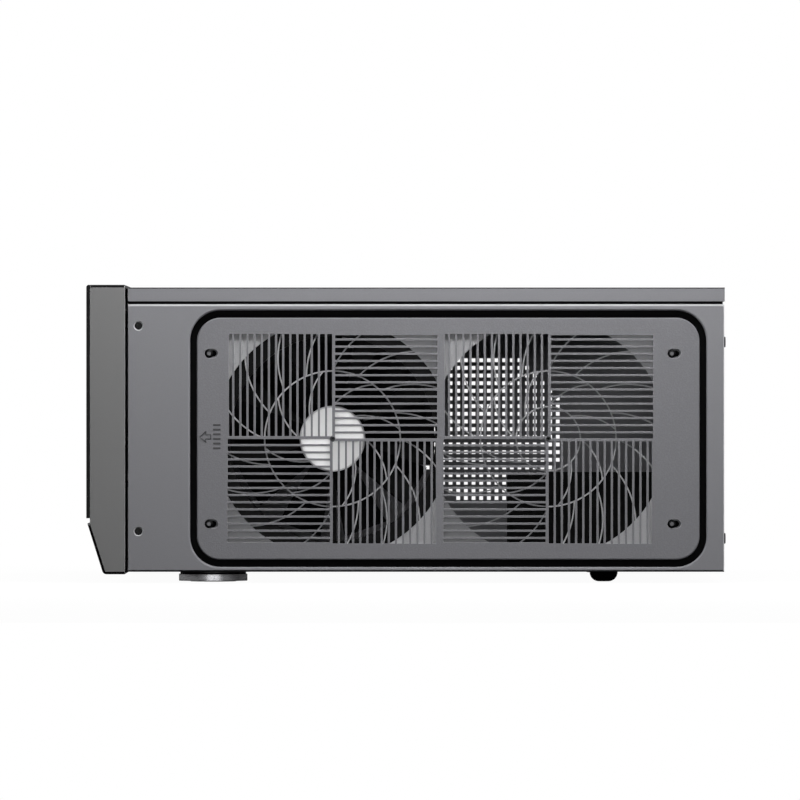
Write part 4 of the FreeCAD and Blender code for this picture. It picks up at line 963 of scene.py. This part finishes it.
@dataclass
class Front:
    """Front moulding, face plate, bay cover and controls."""

    cheek_round: float = 1.5 * MM
    moulding_edge: float = 0.5 * MM
    plate_edge: float = 0.45 * MM
    button_edge: float = 0.5 * MM
    facing: float = 0.99
    sideways: float = 0.3

    def build(self) -> None:
        """Dress the front."""
        near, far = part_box("front_bezel")
        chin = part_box("face_plate")[0].z - HAIR

        def outlined(middle: Vector) -> bool:
            """Whether an edge runs round a cheek's top, chin or underside."""
            return far.x - abs(middle.x) < HAIR and middle.y < far.y - HAIR and (
                middle.z > far.z - HAIR or middle.z < chin)

        craft = Craft.from_node("front_bezel", "front_bezel_skin")
        craft.pick_edges(outlined)
        bpy.ops.mesh.bevel(offset=self.cheek_round, segments=4, affect="EDGES", clamp_overlap=False)
        # Only faces turned square to the sides keep the grey, a painted sheen; the rest of the moulding is
        # black.
        craft.done().mark(1, lambda centre, normal: abs(normal.x) < self.facing)
        # The bevels take the lighter grey, a painted highlight; bevel faces turned mostly away from the
        # sides go black.
        craft.bevel(self.moulding_edge, mark=2)
        craft.mark(1, lambda centre, normal: abs(normal.x) < self.sideways).smooth()
        craft.finish((CHEEK_SHEEN_MOULDING, FRONT_MOULDING, CHEEK_EDGE_HIGHLIGHT), "bezel_grey", "chassis", "front_bezel")
        for node, slot in (("face_plate", "plate_black"), ("bay_cover", "bezel_grey")):
            craft = Craft.from_node(node, f"{node}_skin").bevel(self.plate_edge, 3)
            # Faces turned to the front take the lighter metallic copy: a painted sheen on the black plate.
            craft.mark(1, lambda centre, normal: normal.y < -self.facing).smooth()
            craft.finish((PLATE_METAL, PLATE_FACE_SHEEN), slot, "chassis", node)
        soften_node("power_button", BUTTON_METAL, "button_silver", "power_key", self.button_edge, 3)
        soften_node("reset_button", BUTTON_METAL, "button_silver", "reset_key", self.button_edge, 3)


@dataclass
class SideGrille:
    """Slatted grille, its ribbed guard and the marks moulded on its front edge."""

    slat_edge: float = 0.32 * MM
    rib_edge: float = 0.15 * MM
    mark_rise: float = 0.3 * MM
    mark_line: float = 0.5 * MM
    arrow_y: float = -110.85 * MM
    arrow_z: float = 81.9 * MM
    shaft_length: float = 3.5 * MM
    shaft_height: float = 3.1 * MM
    barb_run: float = 0.5 * MM
    head_height: float = 6.9 * MM
    head_length: float = 3.0 * MM
    grip_y: float = -105.9 * MM
    grip_low: float = 75.6 * MM
    grip_pitch: float = 2.6 * MM
    grip_sides: tuple[float, float, float] = (0.5 * MM, 4.2 * MM, 1.1 * MM)
    grip_count: int = 6
    grip_round: float = 0.2 * MM
    pin_radius: float = 1.4 * MM
    pin_rim: float = 0.45
    pin_round: float = 0.1 * MM
    pin_first_y: float = -41.2 * MM
    pin_pitch: float = 120.9 * MM
    pin_z: float = 80.8 * MM

    def build(self) -> None:
        """Dress the grille."""
        # The slats' bevels take the lighter grey: a painted highlight.
        craft = Craft.from_node("side_grille", "side_grille_skin").bevel(self.slat_edge, mark=1).smooth()
        craft.finish((GRILLE_MOULDING, GRILLE_EDGE_HIGHLIGHT), "grille_grey", "grille", "side_grille")
        # The guard is painted lighter to make up for the slats' shadow: painted light.
        soften_node("guard_plate", GUARD_MOULDING_PAINTED_LIGHT, "grille_grey", "grille", self.rib_edge, 1)
        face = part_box("side_grille")[1].x
        self._arrow(face)
        self._grips(face)
        self._pins(face)

    def _arrow(self, face: float) -> None:
        """Outline arrow that shows which way the grille slides.

        Args:
            face: The grille's outer face along X.
        """
        centre = (face, self.arrow_y, self.arrow_z)
        craft = Craft.sheet("slide_arrow", centre, self.shaft_length, self.shaft_height)
        front = self.arrow_y - self.shaft_length / 2
        craft.pick_edges(lambda middle: abs(middle.y - front) < HAIR)
        bpy.ops.mesh.extrude_region_move(TRANSFORM_OT_translate={"value": (0.0, self.barb_run, 0.0)})
        bpy.ops.transform.resize(value=(1.0, 1.0, self.head_height / self.shaft_height))
        bpy.ops.mesh.extrude_region_move(
            TRANSFORM_OT_translate={"value": (0.0, -self.head_length - self.barb_run, 0.0)})
        bpy.ops.mesh.merge(type="CENTER")
        bpy.ops.mesh.select_all(action="SELECT")
        bpy.ops.mesh.normals_make_consistent(inside=False)
        bpy.ops.mesh.dissolve_limited(angle_limit=math.radians(1.0))
        bpy.ops.mesh.select_mode(type="FACE")
        bpy.ops.mesh.select_all(action="SELECT")
        bpy.ops.mesh.inset(thickness=self.mark_line, use_boundary=True)
        bpy.ops.mesh.delete(type="FACE")
        craft.done()
        craft.thicken(2.0 * self.mark_rise, 0.0).smooth()
        craft.finish(MARK_MOULDING, "grille_grey", "grille")

    def _grips(self, face: float) -> None:
        """Row of plain thumb ribs beside the arrow.

        Args:
            face: The grille's outer face along X.
        """
        craft = Craft.block("grip_ribs", (face, self.grip_y, self.grip_low), self.grip_sides)
        craft.bevel(self.grip_round, 2)
        craft.copies([(0.0, 0.0, k * self.grip_pitch) for k in range(1, self.grip_count)])
        craft.smooth().finish(MARK_MOULDING, "grille_grey", "grille")

    def _pins(self, face: float) -> None:
        """Small dished pins where the arms of each field cross.

        Args:
            face: The grille's outer face along X.
        """
        bpy.ops.object.select_all(action="DESELECT")
        bpy.ops.mesh.primitive_cylinder_add(vertices=24, radius=self.pin_radius, depth=2.0 * self.mark_rise,
                                            location=(face, self.pin_first_y, self.pin_z),
                                            rotation=(0.0, math.pi / 2, 0.0))
        bpy.context.active_object.name = "centre_pins"
        bpy.ops.object.transform_apply(location=True, rotation=True, scale=True)
        craft = Craft(bpy.context.active_object)
        craft.pick(lambda centre, normal: normal.x > 0.5)
        bpy.ops.mesh.inset(thickness=self.pin_rim * self.pin_radius)
        bpy.ops.mesh.extrude_region_move(TRANSFORM_OT_translate={"value": (-self.mark_rise, 0.0, 0.0)})
        craft.done().bevel(self.pin_round).copies([(0.0, self.pin_pitch, 0.0)])
        craft.smooth().finish(PIN_MOULDING, "grille_grey", "grille")


@dataclass
class SideFan:
    """Fan behind the front field."""

    frame_edge: float = 0.3 * MM

    def build(self) -> None:
        """Dress the fan."""
        soften_node("fan_frame", FAN_PLASTIC, "fan_black", "chassis", self.frame_edge)
        soften_node("fan_rotor", FAN_PLASTIC, "fan_black", "rotor", 0.0)


@dataclass
class ScrewSet:
    """A node of screws that get softened heads with a cross recess."""

    node: str
    body: str
    axes: tuple[Axis, ...]
    paint: Finish
    slot: str
    head_round: float = 0.35 * MM
    cross_span: float = 0.62
    cross_width: float = 0.17
    cross_depth: float = 0.9 * MM

    def build(self) -> None:
        """Round the heads and cut the crosses."""
        craft = Craft.from_node(self.node, f"{self.node}_skin").bevel(self.head_round, 3, 50.0)
        for low, high in islands(self.node):
            craft.cut(self._cross(low, high))
        craft.smooth(40.0).finish(self.paint, self.slot, self.body, self.node)

    def _cross(self, low: Vector, high: Vector) -> Craft:
        """A cross-shaped cutter at one head.

        Args:
            low: The screw's lowest corner.
            high: Its highest corner.

        Returns:
            The cutter.
        """
        axis = self._facing(low, high)
        centre = (low + high) / 2
        reach = (high - low) / 2
        across = max(reach[k] for k in range(3) if abs(axis[k]) < 0.5)
        width = 2.0 * across * self.cross_width
        face = Vector([centre[k] + axis[k] * reach[k] for k in range(3)])
        sides = [2.0 * self.cross_depth if abs(axis[k]) > 0.5 else width for k in range(3)]
        craft = Craft.block("cross", face, sides)
        craft.pick(lambda middle, normal: abs(normal.dot(axis)) < 0.5)
        bpy.ops.mesh.extrude_faces_move(
            TRANSFORM_OT_shrink_fatten={"value": across * self.cross_span - width / 2})
        return craft.done()

    def _facing(self, low: Vector, high: Vector) -> Vector:
        """Which of the set's ways this screw's head faces.

        Args:
            low: The screw's lowest corner.
            high: Its highest corner.

        Returns:
            The unit direction.
        """
        centre = (low + high) / 2
        return max((axis.value for axis in self.axes), key=lambda way: way.dot(centre))


@dataclass
class Fasteners:
    """Screws, studs and rivets."""

    rivet_edge: float = 0.5 * MM
    stud_edge: float = 0.5 * MM
    glint_inset: float = 1.05 * MM

    def build(self) -> None:
        """Dress every set."""
        sides = (Axis.RIGHT, Axis.LEFT)
        ScrewSet("panel_screws", "chassis", sides, BLACK_SCREW, "stud_black").build()
        ScrewSet("cover_screws", "cover", (Axis.REAR,), PLATED_SCREW, "screw_steel").build()
        ScrewSet("slot_screws", "chassis", (Axis.UP,), PLATED_SCREW, "screw_steel").build()
        ScrewSet("fan_screws", "chassis", (Axis.RIGHT,), PLATED_SCREW, "screw_steel").build()
        soften_node("rear_rivets", BLACK_SCREW, "stud_black", "chassis", self.rivet_edge, 3)
        self._studs()

    def _studs(self) -> None:
        """Domed studs with a painted highlight at the tip."""
        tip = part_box("grille_studs")[1].x - HAIR
        craft = Craft.from_node("grille_studs", "grille_studs_skin").bevel(self.stud_edge, 3, 50.0).slots(2)
        # An inset spot on each tip takes the bright metal: a painted highlight.
        craft.pick(lambda centre, normal: centre.x > tip)
        bpy.ops.mesh.inset(thickness=self.glint_inset)
        craft.obj.active_material_index = 1
        bpy.ops.object.material_slot_assign()
        craft.done().smooth(40.0).finish((BLACK_SCREW, STUD_GLINT), "stud_black", "chassis", "grille_studs")


@dataclass
class Feet:
    """Ringed front feet and domed rear feet."""

    edge: float = 0.35 * MM
    ring_edge: float = 0.18 * MM
    ring_inner: float = 15.1 * MM

    def build(self) -> None:
        """Dress the feet on both sides."""
        for side in ("left", "right"):
            soften_node(f"front_foot_{side}", FOOT_GLOSS, "foot_black", "chassis", self.edge)
            self._ring(f"foot_ring_{side}")
            soften_node(f"foot_pad_{side}", FOOT_RUBBER, "foot_rubber", "chassis", self.edge)
            soften_node(f"rear_foot_{side}", FOOT_RUBBER, "foot_rubber", "chassis", 0.0)

    def _ring(self, node: str) -> None:
        """Plated ring with crisp edges.

        Args:
            node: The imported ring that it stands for.
        """
        low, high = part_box(node)
        outer = (high.y - low.y) / 2
        bpy.ops.object.select_all(action="DESELECT")
        bpy.ops.mesh.primitive_cylinder_add(vertices=128, radius=outer, depth=high.z - low.z,
                                            location=(low + high) / 2)
        bpy.context.active_object.name = f"{node}_skin"
        bpy.ops.object.transform_apply(location=True, rotation=True, scale=True)
        craft = Craft(bpy.context.active_object)
        craft.pick(lambda centre, normal: abs(normal.z) > 0.9)
        bpy.ops.mesh.inset(thickness=outer - self.ring_inner)
        bpy.ops.mesh.bridge_edge_loops()
        craft.done().bevel(self.ring_edge).smooth().finish(FOOT_CHROME, "foot_chrome", "chassis", node)


def dress_nodes() -> None:
    """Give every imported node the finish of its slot."""
    for subpart in FRAME["record"]["subparts"]:
        PAINTS.paint(FRAME["nodes"][subpart["node"]], SLOT_FINISHES[subpart["material_slot"]])


def main() -> None:
    """Build the studio and dress the case."""
    logging.basicConfig(level=logging.INFO, format="%(message)s")
    dress_nodes()
    Studio().build()
    for section in (Sheets(), Front(), SideGrille(), SideFan(), Fasteners(), Feet()):
        section.build()


if __name__ == "__main__":
    main()
